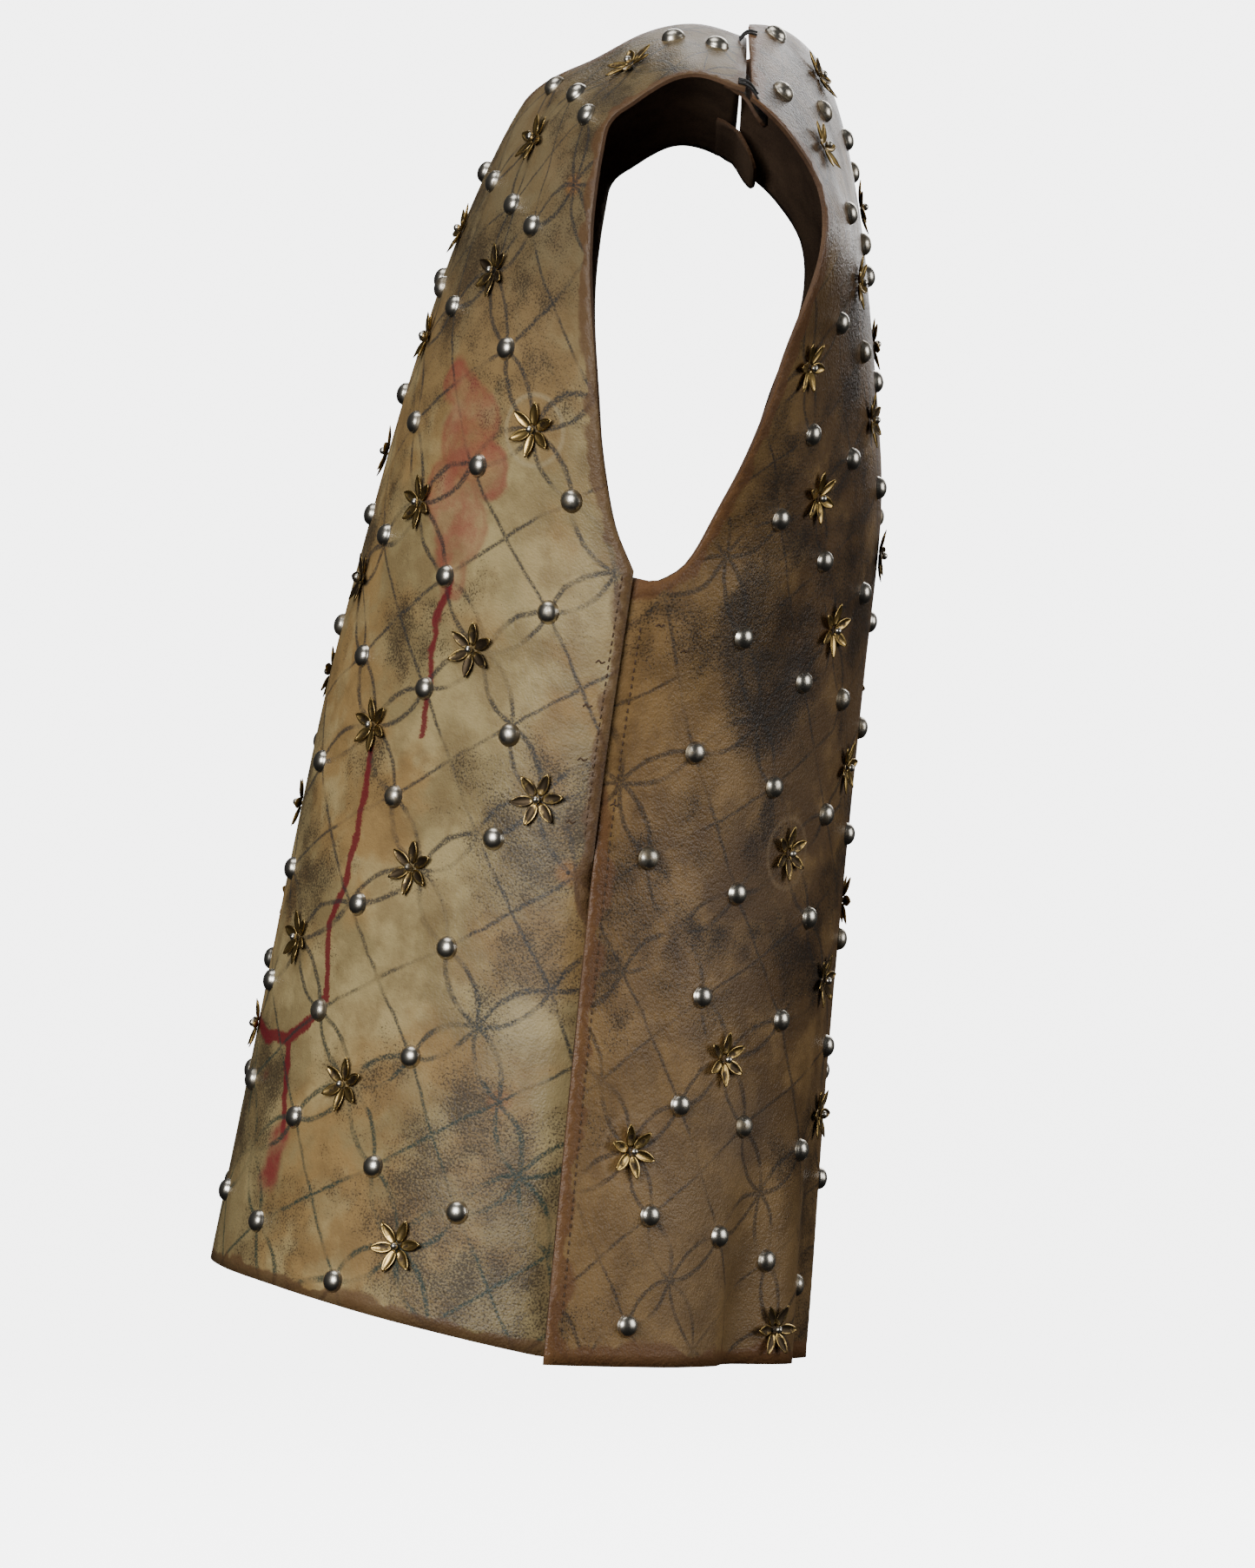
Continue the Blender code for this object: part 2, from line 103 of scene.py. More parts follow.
# Threads that tie the shoulders: where each bunch starts, how many, how far apart
THREAD_STARTS = (0.114, 0.206)
THREAD_COUNT = 4
THREAD_STEP = 0.0028
THREAD_CROSS = 0.0015
THREAD_INSET = 0.005
THREAD_RADIUS = 0.00055
THREAD_LIFT = 0.0007
THREAD_BOW = 0.0024

# The side seam, the same line for both panels: height along it, then its point at the left
SIDE_TOP = 0.420
SEAM = (
    # v,    x,      y,       z
    (0.00, 0.1925, -0.0815, -0.7080),
    (0.15, 0.1885, -0.0667, -0.5570),
    (0.30, 0.1880, -0.0505, -0.4080),
    (0.43, 0.1990, -0.0322, -0.2840),
)
SEAM_TOP = 0.43
SEAM_STEP = 0.004
SIDE_MARGIN = 0.03
# The pull to the seam starts at this share of the half width, and fades over this height
PULL_START = 0.35
PULL_FADE = 0.2
# Above this height the front laps over the back, below it the back laps over the front
LAP_CROSSING = 0.262
LAP = 0.015
LAP_REST = 0.012
LAP_GROWTH = 0.05
LAP_TURN = 0.011
LAP_FLAT = 0.001
TUCK_CHANGE = 0.010

# A leather tab sewn beneath the end of each front shoulder, which hangs behind it
TAB_WALL = 0.0018
TAB_SPAN = (0.168, 0.214)
TAB_UNDER = 0.014
TAB_REACH = 0.024
TAB_DROOP = 60.0
TAB_SINK = 0.0022
TAB_SINK_RUN = 0.010
TAB_BEND_START = 0.003
TAB_BEND_RUN = 0.008
TAB_BEND_PARTS = 16
TAB_WAY_STEP = 0.004
TAB_ROUND = 0.014
TAB_ROUND_POINTS = 6
TAB_TOP_STEP = 0.008

# Where dents of the hide fade: in from the side seam, and below the shoulders
DENT_SIDE = (0.022, 0.025)
DENT_TOP = (0.67, 0.03)

FRONT = {
    "facing": -1,
    # centre line from the hem, over the chest, to the end on the shoulder: y, z
    "spine": (
        (-0.2680, -0.6670), (-0.2460, -0.5600), (-0.2235, -0.4460), (-0.2015, -0.3430),
        (-0.1745, -0.2405), (-0.1530, -0.1675), (-0.1280, -0.0965), (-0.0938, -0.0275),
        (-0.0620, -0.0010), (-0.0300, 0.0170), (0.0020, 0.0225), (0.0350, 0.0160),
    ),
    # how far a row has turned 0.25 m out from the centre, and how late it turns
    "sections": (
        # v,   turn, ease
        (0.00, 1.31, 0.98), (0.20, 1.40, 0.98), (0.40, 1.31, 1.10), (0.52, 1.14, 1.25),
        (0.62, 0.86, 1.15), (0.69, 0.60, 0.85), (0.76, 0.42, 0.50), (0.84, 0.40, 0.40),
    ),
    # flat half width to the side seam: v, u
    "side": ((0.0, 0.299), (0.15, 0.277), (0.30, 0.266), (0.43, 0.269)),
    "under": (0.0, LAP_CROSSING),
    "hem_drop": 0.0,
    # flat outline from the underarm, round the armhole, to the neck's centre: u, v
    "armhole": (
        (0.268, 0.420), (0.256, 0.440), (0.247, 0.470), (0.237, 0.515), (0.226, 0.560),
        (0.213, 0.610), (0.204, 0.650), (0.201, 0.690), (0.206, 0.730), (0.215, 0.772),
        (0.220, 0.8120),
    ),
    "shoulder": ((0.220, 0.8120), (0.104, 0.8060)),
    "neck": (
        (0.104, 0.8060), (0.094, 0.772), (0.095, 0.740), (0.096, 0.712), (0.078, 0.686),
        (0.042, 0.668), (0.000, 0.661),
    ),
    # soft folds pushed in (-) or out (+): u, half width, depth, height reached from the hem
    "folds": ((0.205, 0.045, 0.0025, 0.30), (0.115, 0.050, -0.0020, 0.24)),
    # the drawn net: its first crossing, the half repeat, its tilt in degrees
    "net": (0.181, 0.365, 0.0450, 36.5),
    # how far the drawn crossings stray from a square net, in mm: p, q, out, up
    "strays": (
        (0, 0, 8, -7), (2, 0, 6, -5), (4, 0, -39, -2), (0, 2, -2, -6), (0, -2, -11, -7),
        (0, -4, -16, 6), (0, -6, 28, 1), (-2, -2, 1, -9), (-2, -4, -6, -1), (-2, -6, 32, 5),
        (-4, -6, -7, 31), (-4, -4, -28, 6), (-2, 0, 5, -3), (2, 2, 8, -3), (2, 4, 6, -5),
        (2, 6, -7, -5), (4, 2, -16, -1), (4, 4, 9, 1), (4, 6, 11, -2), (6, 4, -3, 7),
    ),
    # beads fixed a little off their crossing, in mm: p, q, out, up
    "set_off": (
        (0, 0, -9, 0), (1, 2, 10, 0), (2, 2, -6, 0), (-1, -2, 6, 0), (3, 2, 8, 0),
        (1, -2, 0, 6), (1, 4, 0, 8), (-4, -6, -6, 0), (-5, -6, 8, 6), (0, -4, 0, 5),
        (0, 1, 0, -5), (4, 4, -6, 0), (2, 7, -5, -3),
    ),
    "bare": ((-2, 0), (-4, -4), (2, 4), (6, 4), (0, 3), (2, 5)),
}
BACK = {
    "facing": 1,
    "spine": (
        (0.0620, -0.7190), (0.0655, -0.6740), (0.0690, -0.6220), (0.0735, -0.5610),
        (0.0820, -0.4650), (0.0935, -0.3500), (0.1030, -0.2590), (0.1015, -0.1960),
        (0.0930, -0.1050), (0.0785, -0.0300), (0.0560, 0.0110), (0.0230, 0.0290),
    ),
    "sections": (
        (0.00, 1.10, 0.66), (0.15, 1.06, 0.62), (0.30, 1.06, 0.64), (0.45, 1.12, 0.85),
        (0.54, 0.70, 0.90), (0.62, 0.34, 1.00), (0.67, 0.46, 0.95), (0.72, 0.56, 0.75),
        (0.78, 0.55, 0.55), (0.84, 0.50, 0.45),
    ),
    "side": ((0.0, 0.2530), (0.15, 0.2500), (0.30, 0.2450), (0.43, 0.2570)),
    "under": (LAP_CROSSING, SIDE_TOP),
    "hem_drop": -0.004,
    "armhole": (
        (0.252, 0.4160), (0.239, 0.4170), (0.222, 0.4320), (0.213, 0.4700), (0.207, 0.5250),
        (0.205, 0.5750), (0.200, 0.6100), (0.191, 0.6360), (0.200, 0.6620), (0.212, 0.6820),
        (0.216, 0.6955),
    ),
    "shoulder": (
        (0.216, 0.6955), (0.190, 0.7160), (0.170, 0.7340), (0.150, 0.7463), (0.125, 0.7545),
        (0.100, 0.7600),
    ),
    "neck": ((0.100, 0.7600), (0.086, 0.7520), (0.066, 0.7410), (0.035, 0.7240), (0.0, 0.7140)),
    "folds": (
        (0.104, 0.030, -0.0090, 0.20), (0.062, 0.024, 0.0050, 0.24),
        (0.026, 0.026, -0.0070, 0.26), (0.170, 0.040, 0.0030, 0.22),
    ),
    "net": (0.138, 0.159, 0.0430, 32.0),
    "strays": (
        (0, 0, 3, 2), (2, 0, -3, -4), (-2, 0, -27, 1), (0, 4, 29, 2), (-2, -2, -12, -4),
        (0, -2, 2, -6), (0, -4, 6, -1), (0, 2, 1, 4), (-2, -4, -14, -7), (-2, -6, -3, 9),
        (2, 2, 10, 2), (4, 2, -10, -2),
    ),
    "set_off": (),
    "bare": (
        (0, -2), (0, -4), (0, 2), (-2, -4), (-2, -6), (2, 2), (4, 2), (3, 0), (1, -2),
        (2, -1), (2, 3), (-1, -6),
    ),
}
# Soft dents and ridges of the worn hide: u, v, tilt in degrees, half length, half width, depth
CREASES = {
    "front": (
        (0.205, 0.540, 80, 0.050, 0.014, -0.0012), (0.150, 0.620, 55, 0.045, 0.012, -0.0013),
        (0.120, 0.520, 20, 0.060, 0.016, 0.0010), (0.190, 0.330, 70, 0.070, 0.018, -0.0011),
        (0.110, 0.250, 100, 0.060, 0.018, 0.0010), (0.205, 0.150, 60, 0.050, 0.016, -0.0012),
        (0.070, 0.120, 85, 0.060, 0.016, -0.0010), (-0.150, 0.480, 75, 0.060, 0.016, -0.0012),
        (-0.100, 0.300, 110, 0.055, 0.018, 0.0010), (-0.190, 0.180, 65, 0.050, 0.015, -0.0012),
        (-0.040, 0.420, 95, 0.070, 0.020, -0.0010), (-0.160, 0.620, 40, 0.045, 0.013, -0.0012),
    ),
    "back": (
        (0.200, 0.360, 75, 0.050, 0.015, -0.0012), (0.150, 0.280, 60, 0.055, 0.016, 0.0010),
        (0.120, 0.400, 95, 0.060, 0.018, -0.0012), (0.190, 0.140, 80, 0.060, 0.015, -0.0012),
        (0.060, 0.340, 85, 0.070, 0.018, 0.0010), (-0.140, 0.380, 70, 0.055, 0.016, -0.0012),
        (-0.190, 0.200, 95, 0.055, 0.015, 0.0010), (-0.070, 0.300, 80, 0.060, 0.018, -0.0012),
        (0.020, 0.560, 90, 0.060, 0.018, -0.0010), (-0.120, 0.600, 50, 0.045, 0.014, 0.0010),
    ),
}
# The red spill on the front, as strokes: u, v, u, v, half width
SPILL_PATCH = (
    (0.128, 0.500, 0.165, 0.480, 0.012), (0.140, 0.470, 0.170, 0.455, 0.016),
    (0.140, 0.440, 0.160, 0.420, 0.019), (0.152, 0.410, 0.158, 0.392, 0.011),
)
SPILL_RUNS = (
    (0.157, 0.392, 0.151, 0.367, 0.0016), (0.151, 0.367, 0.156, 0.306, 0.0012),
    (0.116, 0.295, 0.118, 0.247, 0.0017), (0.118, 0.247, 0.114, 0.213, 0.0018),
    (0.114, 0.213, 0.106, 0.198, 0.0018), (0.106, 0.198, 0.116, 0.156, 0.0018),
    (0.116, 0.156, 0.104, 0.140, 0.0024), (0.104, 0.140, 0.084, 0.130, 0.0032),
    (0.084, 0.130, 0.053, 0.129, 0.0032), (0.053, 0.129, 0.007, 0.135, 0.0024),
    (0.086, 0.130, 0.091, 0.115, 0.0022), (0.091, 0.115, 0.100, 0.082, 0.0017),
)
SPILL_BLOTS = ((0.100, 0.078, 0.094, 0.055, 0.0100), (0.063, 0.109, 0.066, 0.109, 0.0030))
# Where each hide's three tones gather, wide, pale and sooty: u, v, radius, strength
TONES = {
    "front_hide": (
        ((0.16, 0.250, 0.060, 1.0),),
        ((0.205, 0.420, 0.045, 2.4), (0.160, 0.160, 0.035, 1.4), (0.175, 0.235, 0.040, 1.2)),
        ((0.180, 0.560, 0.050, 1.2), (0.110, 0.280, 0.045, 1.7), (0.262, 0.290, 0.024, 1.6),
         (0.200, 0.110, 0.060, 1.0), (0.260, 0.040, 0.050, 1.0), (0.205, 0.420, 0.060, -2.2),
         (0.165, 0.200, 0.050, -1.6), (0.100, 0.580, 0.050, 1.0), (0.232, 0.510, 0.025, 1.6)),
    ),
    "back_hide": (
        ((0.16, 0.250, 0.060, 1.0),),
        ((0.220, 0.200, 0.060, 1.4), (0.225, 0.340, 0.040, 1.6), (0.110, 0.085, 0.035, 1.8)),
        ((0.145, 0.370, 0.060, 2.4), (0.125, 0.270, 0.050, 1.5), (0.060, 0.500, 0.200, 0.8),
         (0.220, 0.320, 0.050, -1.8), (0.220, 0.080, 0.080, -1.0), (0.095, 0.070, 0.070, -1.2)),
    ),
}
# Worn halos left by a lost stud, each with painted shade in the stud's hole at its middle, as u, v
HALOS = ((0.190, 0.622), (0.255, 0.252), (0.243, 0.126))
# Small thread tacks beside the seam, as u, v
TACKS = {
    "front": ((0.256, 0.367), (0.252, 0.342), (0.253, 0.313), (0.252, 0.279)),
    "back": ((0.233, 0.392), (0.212, 0.379), (0.236, 0.292)),
}
# A grey cloud low on the back, as a stroke
CLOUD = (0.117, 0.124, 0.118, 0.124, 0.020)
# Rosettes with a worn ring round them, as p, q, and the ring's radius
RINGS = {"front": (((-2, -2),), 0.0195), "back": (((2, 0), (-2, -2)), 0.0190)}

# Cells per metre of each tone field and each wear field, their fractal noise and seeds
TONE_SCALES = (9, 26, 15)
WEAR_SCALES = (24, 60, 11)
TONE_NOISE = (0.7, 2.0, 5)
SEED_STEP = 3.7
# Each unevenness in a material: cells per metre, detail, roughness
GRAINS = {
    "stir": (42.0, 4.0, 0.62), "speck": (800.0, 2.0, 0.6), "wrinkle": (330.0, 2.0, 0.6),
    "wide": (25.0, 4.0, 0.6), "nap": (900.0, 3.0, 0.7), "cloudy": (160.0, 4.0, 0.6),
    "fine": (1500.0, 2.0, 0.5), "twist": (1800.0, 2.0, 0.5), "floor": (3.0, 2.0, 0.5),
}
PEBBLES = 760.0
PEBBLE_HEIGHT = -0.5
WRINKLE_HEIGHT = 1.1
GRAIN_DEPTH = {"front": 0.00032, "back": 0.00034}
# How far the stir moves a field's rank, the net, the spill, its runs, the cloud and the painted
# side light
FIELD_STIR = 1.5
NET_STIR = 0.11
SPILL_STIR = 0.018
RUN_STIR = 0.012
CLOUD_STIR = 0.03
SIDE_LIGHT_STIR = 0.09
RUN_SPECK = 0.004
SOOT_SPECK = 0.34
HALO_RADIUS = 0.005
SPOT_LENGTH = 1e-4
# Ink: edge of a mark, bow of the ovals, how thin the lines are, grain and wear
INK_MARK = (0.050, 0.016)
OVAL_BOW = 0.60
LINE_THIN = 0.010
# An easing: starts at, full at, gain, rest
INK_GRAIN = (0.34, 0.54, 0.7, 0.3)
INK_WEAR = (0.05, 0.60, 0.75, 0.25)
SPILL_UNEVEN = (0.35, 0.68, 1.0, 0.45)
# Roughness of each hide: gain on the wide tone, rest
SHEEN = {"front": (0.14, 0.42), "back": (0.14, 0.36)}
# The dyed edge's width on each hide, and what its unevenness is raised by
BAND_WIDTH = {"front": 0.0064, "back": 0.0084}
BAND_REST = 0.75
# Colour of each hide beneath its paints, and of its ink with how strongly that lies
GROUND = {"front": (0.285, 0.215, 0.098), "back": (0.135, 0.078, 0.034)}
INK = {"front": (0.86, (0.032, 0.031, 0.030)), "back": (0.72, (0.028, 0.023, 0.019))}
# Paints: where each starts and is full, as a field's rank or in metres, strength, colour
PAINT = {
    "front": {
        "rust": (0.20, 0.85, 1.0, (0.325, 0.205, 0.078)),
        "pale": (0.35, 1.15, 0.85, (0.45, 0.350, 0.165)),
        # chest: painted shade, darker from the upper chest up over the shoulders
        "chest": (0.42, 0.62, 0.70, (0.140, 0.106, 0.060)),
        "mottle": (0.40, 0.64, 0.42, (0.150, 0.092, 0.036)),
        "haze": (0.35, 1.25, 0.50, (0.068, 0.048, 0.029)),
        "speck": (0.70, 0.92, 0.80, (0.034, 0.024, 0.0145)),
        "wash": (0.0030, -0.0040, 0.46, (0.27, 0.050, 0.042)),
        "wash_edge": (-0.006, 0.0, 0.42, (0.20, 0.022, 0.024)),
        "run": (0.0016, 0.0, 0.92, (0.145, 0.011, 0.018)),
        "blot": (0.0020, -0.0060, 0.62, (0.20, 0.030, 0.030)),
        "halo": (0.004, -0.002, 0.55, (0.28, 0.120, 0.036)),
        # hole_shade: painted shade, a dark dot standing in for the stud's hole
        "hole_shade": (-0.0036, -0.0042, 0.90, (0.015, 0.010, 0.008)),
        "ring": (0.0024, 0.0002, 0.32, (0.46, 0.385, 0.23)),
        "hem_ink": (0.20, 0.08, 1.0, (0.020, 0.040, 0.032)),
        "edge": (1.10, 0.75, 0.80, (0.120, 0.062, 0.028)),
    },
    "back": {
        # side: painted light, lighter and more golden towards the side seam
        "side": (0.11, 0.235, 1.0, (0.235, 0.140, 0.052)),
        "pale": (0.35, 1.15, 0.70, (0.34, 0.205, 0.080)),
        # hem: painted light, lighter towards the hem
        "hem": (0.17, 0.07, 0.55, (0.29, 0.180, 0.075)),
        "mottle": (0.40, 0.66, 0.40, (0.085, 0.044, 0.017)),
        "haze": (0.35, 1.25, 0.70, (0.036, 0.023, 0.014)),
        "speck": (0.70, 0.92, 0.80, (0.018, 0.0115, 0.007)),
        "cloud": (0.02, -0.02, 0.45, (0.085, 0.066, 0.060)),
        "ring": (0.0024, 0.0002, 0.32, (0.34, 0.23, 0.125)),
        "edge": (1.10, 0.75, 0.80, (0.150, 0.068, 0.028)),
    },
}

# The floor, turned from radius and height and closed at its middle
BOWL = ((11.0, 9.0), (10.8, 1.0), (10.0, -0.6), (8.5, -1.05), (4.0, -1.05), (0.0, -1.05))
BOWL_SIDES = 48
FLOOR_GLOW = 5.0
FLOOR_TONES = ((0.93, 0.93, 0.93), (0.96, 0.96, 0.96))
# Lamps: name, place, size, power. All aim at one place
LAMPS = (
    ("key", (4.4, -2.3, 1.0), 2.6, 265.0), ("fill", (0.6, 3.4, 0.3), 2.2, 62.0),
    ("top", (0.3, -0.6, 2.6), 1.8, 34.0), ("rear", (-2.6, 0.6, 1.0), 2.0, 60.0),
)
LAMP_AIM = (0.0, -0.06, -0.35)
# The sky's strength from below to above
SKY_RISE = {"From Min": -0.5, "From Max": 0.5, "To Min": 0.16, "To Max": 0.80}
LENS = 165.75
SENSOR = 36.0
CAMERA_PLACE = (4.0, -0.03728, -0.40553)


def through(rows, x):
    """Smooth curve through a table's rows, read at x in its first column."""
    rows = np.asarray(rows, float)
    at, values = rows[:, 0], rows[:, 1:]
    step = np.diff(at)[:, None]
    slope = np.diff(values, axis=0) / step
    middle = (slope[:-1] * step[1:] + slope[1:] * step[:-1]) / (step[:-1] + step[1:])
    ends = np.vstack([slope[:1], middle, slope[-1:]])
    x = np.asarray(x, float)
    i = np.clip(np.searchsorted(at, x, side="right") - 1, 0, len(at) - 2)
    t = ((x - at[i]) / step[i, 0])[..., None]
    first = values[i] * (1 + 2 * t) * (1 - t) ** 2 + ends[i] * step[i] * t * (1 - t) ** 2
    second = values[i + 1] * (3 - 2 * t) * t**2 - ends[i + 1] * step[i] * (1 - t) * t**2
    return first + second


def curve(points, spacing):
    """Points at an even spacing along the smooth curve through the given ones."""
    points = np.asarray(points, float)
    rows = np.column_stack([np.arange(len(points)), points])
    fine = through(rows, np.linspace(0, len(points) - 1, 40 * len(points)))
    run = np.r_[0, np.cumsum(np.linalg.norm(np.diff(fine, axis=0), axis=1))]
    places = np.linspace(0, run[-1], max(2, math.ceil(run[-1] / spacing) + 1))
    return np.column_stack([np.interp(places, run, column) for column in fine.T])


def smooth(t):
    """An even rise from 0 to 1 that starts and ends level."""
    t = np.clip(t, 0, 1)
    return t * t * (3 - 2 * t)


def spine_frame(panel, v):
    """The centre line's point and its unit direction at v, both as y, z."""
    line = curve(panel["spine"], LINE_STEP)
    run = np.r_[0, np.cumsum(np.linalg.norm(np.diff(line, axis=0), axis=1))]
    on_line = np.clip(v, 0, run[-1])

    def at(w):
        return np.stack([np.interp(w, run, line[:, 0]), np.interp(w, run, line[:, 1])], -1)

    ahead, behind = np.minimum(on_line + FRAME_REACH, run[-1]), np.maximum(on_line - FRAME_REACH, 0)
    way = at(ahead) - at(behind)
    way /= np.linalg.norm(way, axis=-1, keepdims=True)
    return at(on_line) + (v - on_line)[..., None] * way, way


def swept(panel, u, v):
    """The panel before it is drawn to the side seam: each row bends round from the centre."""
    centre, way = spine_frame(panel, v)
    last = panel["sections"][-1][0]
    turn, ease = np.moveaxis(through(panel["sections"], np.clip(v, 0, last)), -1, 0)
    share = (np.arange(BEND_PARTS) + 0.5) / BEND_PARTS
    angle = turn[..., None] * (np.abs(u)[..., None] * share / TURN_AT) ** ease[..., None]
    across = np.cos(angle).mean(-1) * u
    depth = np.sin(angle).mean(-1) * np.abs(u)
    for place, width, push, reach in panel["folds"]:
        along = np.cos(np.clip((np.abs(u) - place) / width, -1, 1) * math.pi / 2) ** 2
        depth = depth - push * along * (1 - np.clip(v / reach, 0, 1)) ** 2
    inward = np.stack([-way[..., 1], way[..., 0]], -1) * panel["facing"]
    return np.stack(
        [across, centre[..., 0] + depth * inward[..., 0], centre[..., 1] + depth * inward[..., 1]],
        -1,
    )


def side_width(panel, v):
    """Flat half width to the side seam at v."""
    return through(panel["side"], np.clip(v, 0, SEAM_TOP))[..., 0]


def to_side(vectors, u):
    """Vectors of the left half, mirrored where u lies in the right half."""
    sign = np.where(u < 0, -1.0, 1.0)
    return vectors * np.stack([sign, np.ones_like(sign), np.ones_like(sign)], -1)


def drawn(panel, u, v):
    """The panel with its side edge on the seam line. The pull fades above the underarm."""
    low = np.clip(v, 0, SEAM_TOP)
    width = side_width(panel, v)
    miss = through(SEAM, low) - swept(panel, width, low)
    pull = smooth((np.abs(u) / width - PULL_START) / (1 - PULL_START))
    pull = pull * np.clip(1 - (v - SEAM_TOP) / PULL_FADE, 0, 1)
    return swept(panel, u, v) + to_side(miss, u) * pull[..., None]


def normal_of(place, u, v):
    """Outward normal of a sheet function at u, v, for a sheet whose rows run towards +X."""
    along = place(u + NORMAL_STEP, v) - place(u - NORMAL_STEP, v)
    up = place(u, v + NORMAL_STEP) - place(u, v - NORMAL_STEP)
    normal = np.cross(along, up)
    return normal / np.linalg.norm(normal, axis=-1, keepdims=True)


def below_lap(panel, v):
    """How far v lies inside the stretch where the panel runs beneath the other one."""
    low, high = panel["under"]
    return high - v if low <= 0 else v - low


def under(panel, v):
    """1 where the panel's side runs beneath the other panel, 0 where it lies on top."""
    return smooth(below_lap(panel, v) / TUCK_CHANGE)


def lap_width(panel, v):
    """How far the side runs on past the seam line. At the crossing the edges only meet."""
    into = below_lap(panel, v) - LAP_REST
    return np.where(into > 0, LAP * smooth(into / LAP_GROWTH), 0.0) - GAP / 2


def sheet(panel, other, u, v):
    """The panel's outer face, with its side strip tucked beneath the other panel."""
    u, v = np.broadcast_arrays(np.asarray(u, float), np.asarray(v, float))
    sign = np.where(u < 0, -1.0, 1.0)
    width = side_width(panel, v)
    past = np.where(v < SIDE_TOP + SIDE_MARGIN, np.abs(u) - width, -1.0)
    own = drawn(panel, sign * np.minimum(np.abs(u), np.where(past > 0, width, np.inf)), v)
    lapped = drawn(other, sign * (side_width(other, v) - np.maximum(past, 0)), v)
    point = np.where((past > 0)[..., None], lapped, own)
    tuck = under(panel, v) * smooth((past + LAP_TURN) / (LAP_TURN - LAP_FLAT))
    return point - to_side(seam_outward(v), u) * ((WALL + GAP) * tuck)[..., None]


def seam_outward(v):
    """Unit outward direction along the left seam, midway between the two panels' own."""
    total = 0
    for panel in (FRONT, BACK):
        normal = normal_of(partial(drawn, panel), side_width(panel, v) - SEAM_STEP, v)
        total = total + normal * -panel["facing"]
    return total / np.linalg.norm(total, axis=-1, keepdims=True)


def outline(panel):
    """The panel's flat outline, anticlockwise, from the hem's centre round both halves."""
    bottom = panel["hem_drop"]
    top = panel["armhole"][0][1]
    rows = np.linspace(bottom, top, math.ceil((top - bottom) / EDGE_STEP) + 1)
    side = np.column_stack([side_width(panel, rows) + lap_width(panel, rows), rows])
    hem = curve(((0, bottom), tuple(side[0])), EDGE_STEP)
    armhole = curve(panel["armhole"], EDGE_STEP)
    neck = curve(panel["neck"], EDGE_STEP)
    shoulder = curve(panel["shoulder"], EDGE_STEP)
    half = np.vstack([hem[:-1], side[:-1], [side[-1]], armhole[1:], shoulder[1:], neck[1:]])
    mirrored = half[::-1] * (-1, 1)
    return np.vstack([half, mirrored[1:-1]])


def crossing(panel, p, q):
    """Flat place of the drawn net's point p, q. Whole even numbers are where flowers go."""
    u, v, half, tilt = panel["net"]
    p, q = np.asarray(p, float), np.asarray(q, float)
    along, across = math.cos(math.radians(tilt)), math.sin(math.radians(tilt))
    out = panel["facing"] * (p * along - q * across)
    square = np.stack([u + half * out, v - half * (p * across + q * along)], -1)
    strays = np.asarray(panel["strays"], float)
    near = np.clip(1 - np.abs(strays[:, 0] - p[..., None]) / 2, 0, 1)
    near = near * np.clip(1 - np.abs(strays[:, 1] - q[..., None]) / 2, 0, 1)
    weight = np.maximum(near.sum(-1), 0.25)[..., None]
    return square + near @ strays[:, 2:] / weight / MM_PER_M


def net_place(panel, u, v):
    """The drawn net's p, q at flat places, the inverse of crossing."""
    u0, v0, half, tilt = panel["net"]
    along, across = math.cos(math.radians(tilt)), math.sin(math.radians(tilt))
    wanted = np.stack([u, v], -1)

    def square(du, dv):
        out, down = du / half * panel["facing"], -dv / half
        return np.stack([out * along + down * across, down * along - out * across], -1)

    place = square(u - u0, v - v0)
    for _ in range(NET_ROUNDS):
        miss = wanted - crossing(panel, place[:, 0], place[:, 1])
        place = place + NET_SHARE * square(miss[:, 0], miss[:, 1])
    return place


def beads(panel):
    """Flat places of the studs and flowers that fit inside the panel, as kind, u, v, turn."""
    border = outline(panel)
    off = {(row[0], row[1]): np.array(row[2:]) / MM_PER_M for row in panel["set_off"]}
    steps = range(-NET_REACH, NET_REACH + 1)
    found = []
    for p in steps:
        for q in steps:
            if (p % 2 and q % 2) or (p, q) in panel["bare"]:
                continue
            kind = "stud" if p % 2 or q % 2 else "flower"
            u, v = crossing(panel, p, q) + off.get((p, q), 0)
            room = BEAD_EDGE if kind == "stud" else PETAL_REACH + BEAD_CLEARANCE
            tucked = LAP_TURN * float(under(panel, v)) * (v < SIDE_TOP)
            if abs(u) > side_width(panel, v) - room - tucked and v < SIDE_TOP:
                continue
            if inside(border, u, v) and edge_distance(border, u, v) > room:
                turn = math.radians(BEAD_TURNS[0] * p + BEAD_TURNS[1] * q)
                found.append((kind, u, v, turn))
    return found


def inside(border, u, v):
    """Whether u, v lies within a border, by how many of its edges lie beyond."""
    ahead = np.roll(border, -1, axis=0)
    rising = (border[:, 1] > v) != (ahead[:, 1] > v)
    run = np.where(rising, ahead[:, 1] - border[:, 1], 1)
    at = border[:, 0] + (v - border[:, 1]) / run * (ahead[:, 0] - border[:, 0])
    return np.count_nonzero(rising & (at > u)) % 2 == 1


def edge_distance(border, u, v):
    """How far u, v lies from the nearest edge of a border."""
    ahead = np.roll(border, -1, axis=0) - border
    reach = np.array([u, v]) - border
    share = np.clip((reach * ahead).sum(1) / (ahead**2).sum(1), 0, 1)
    return np.linalg.norm(reach - share[:, None] * ahead, axis=1).min()


def grid(border, spacing):
    """Points in staggered rows, clear of the border."""
    low, high = border.min(0), border.max(0)
    points = []
    for row, v in enumerate(np.arange(low[1] + spacing / 2, high[1], spacing * ROW_SHARE)):
        shift = spacing / 2 if row % 2 else 0
        for u in np.arange(low[0] + shift, high[0], spacing):
            if inside(border, u, v) and edge_distance(border, u, v) > spacing / 2:
                points.append((u, v))
    return points


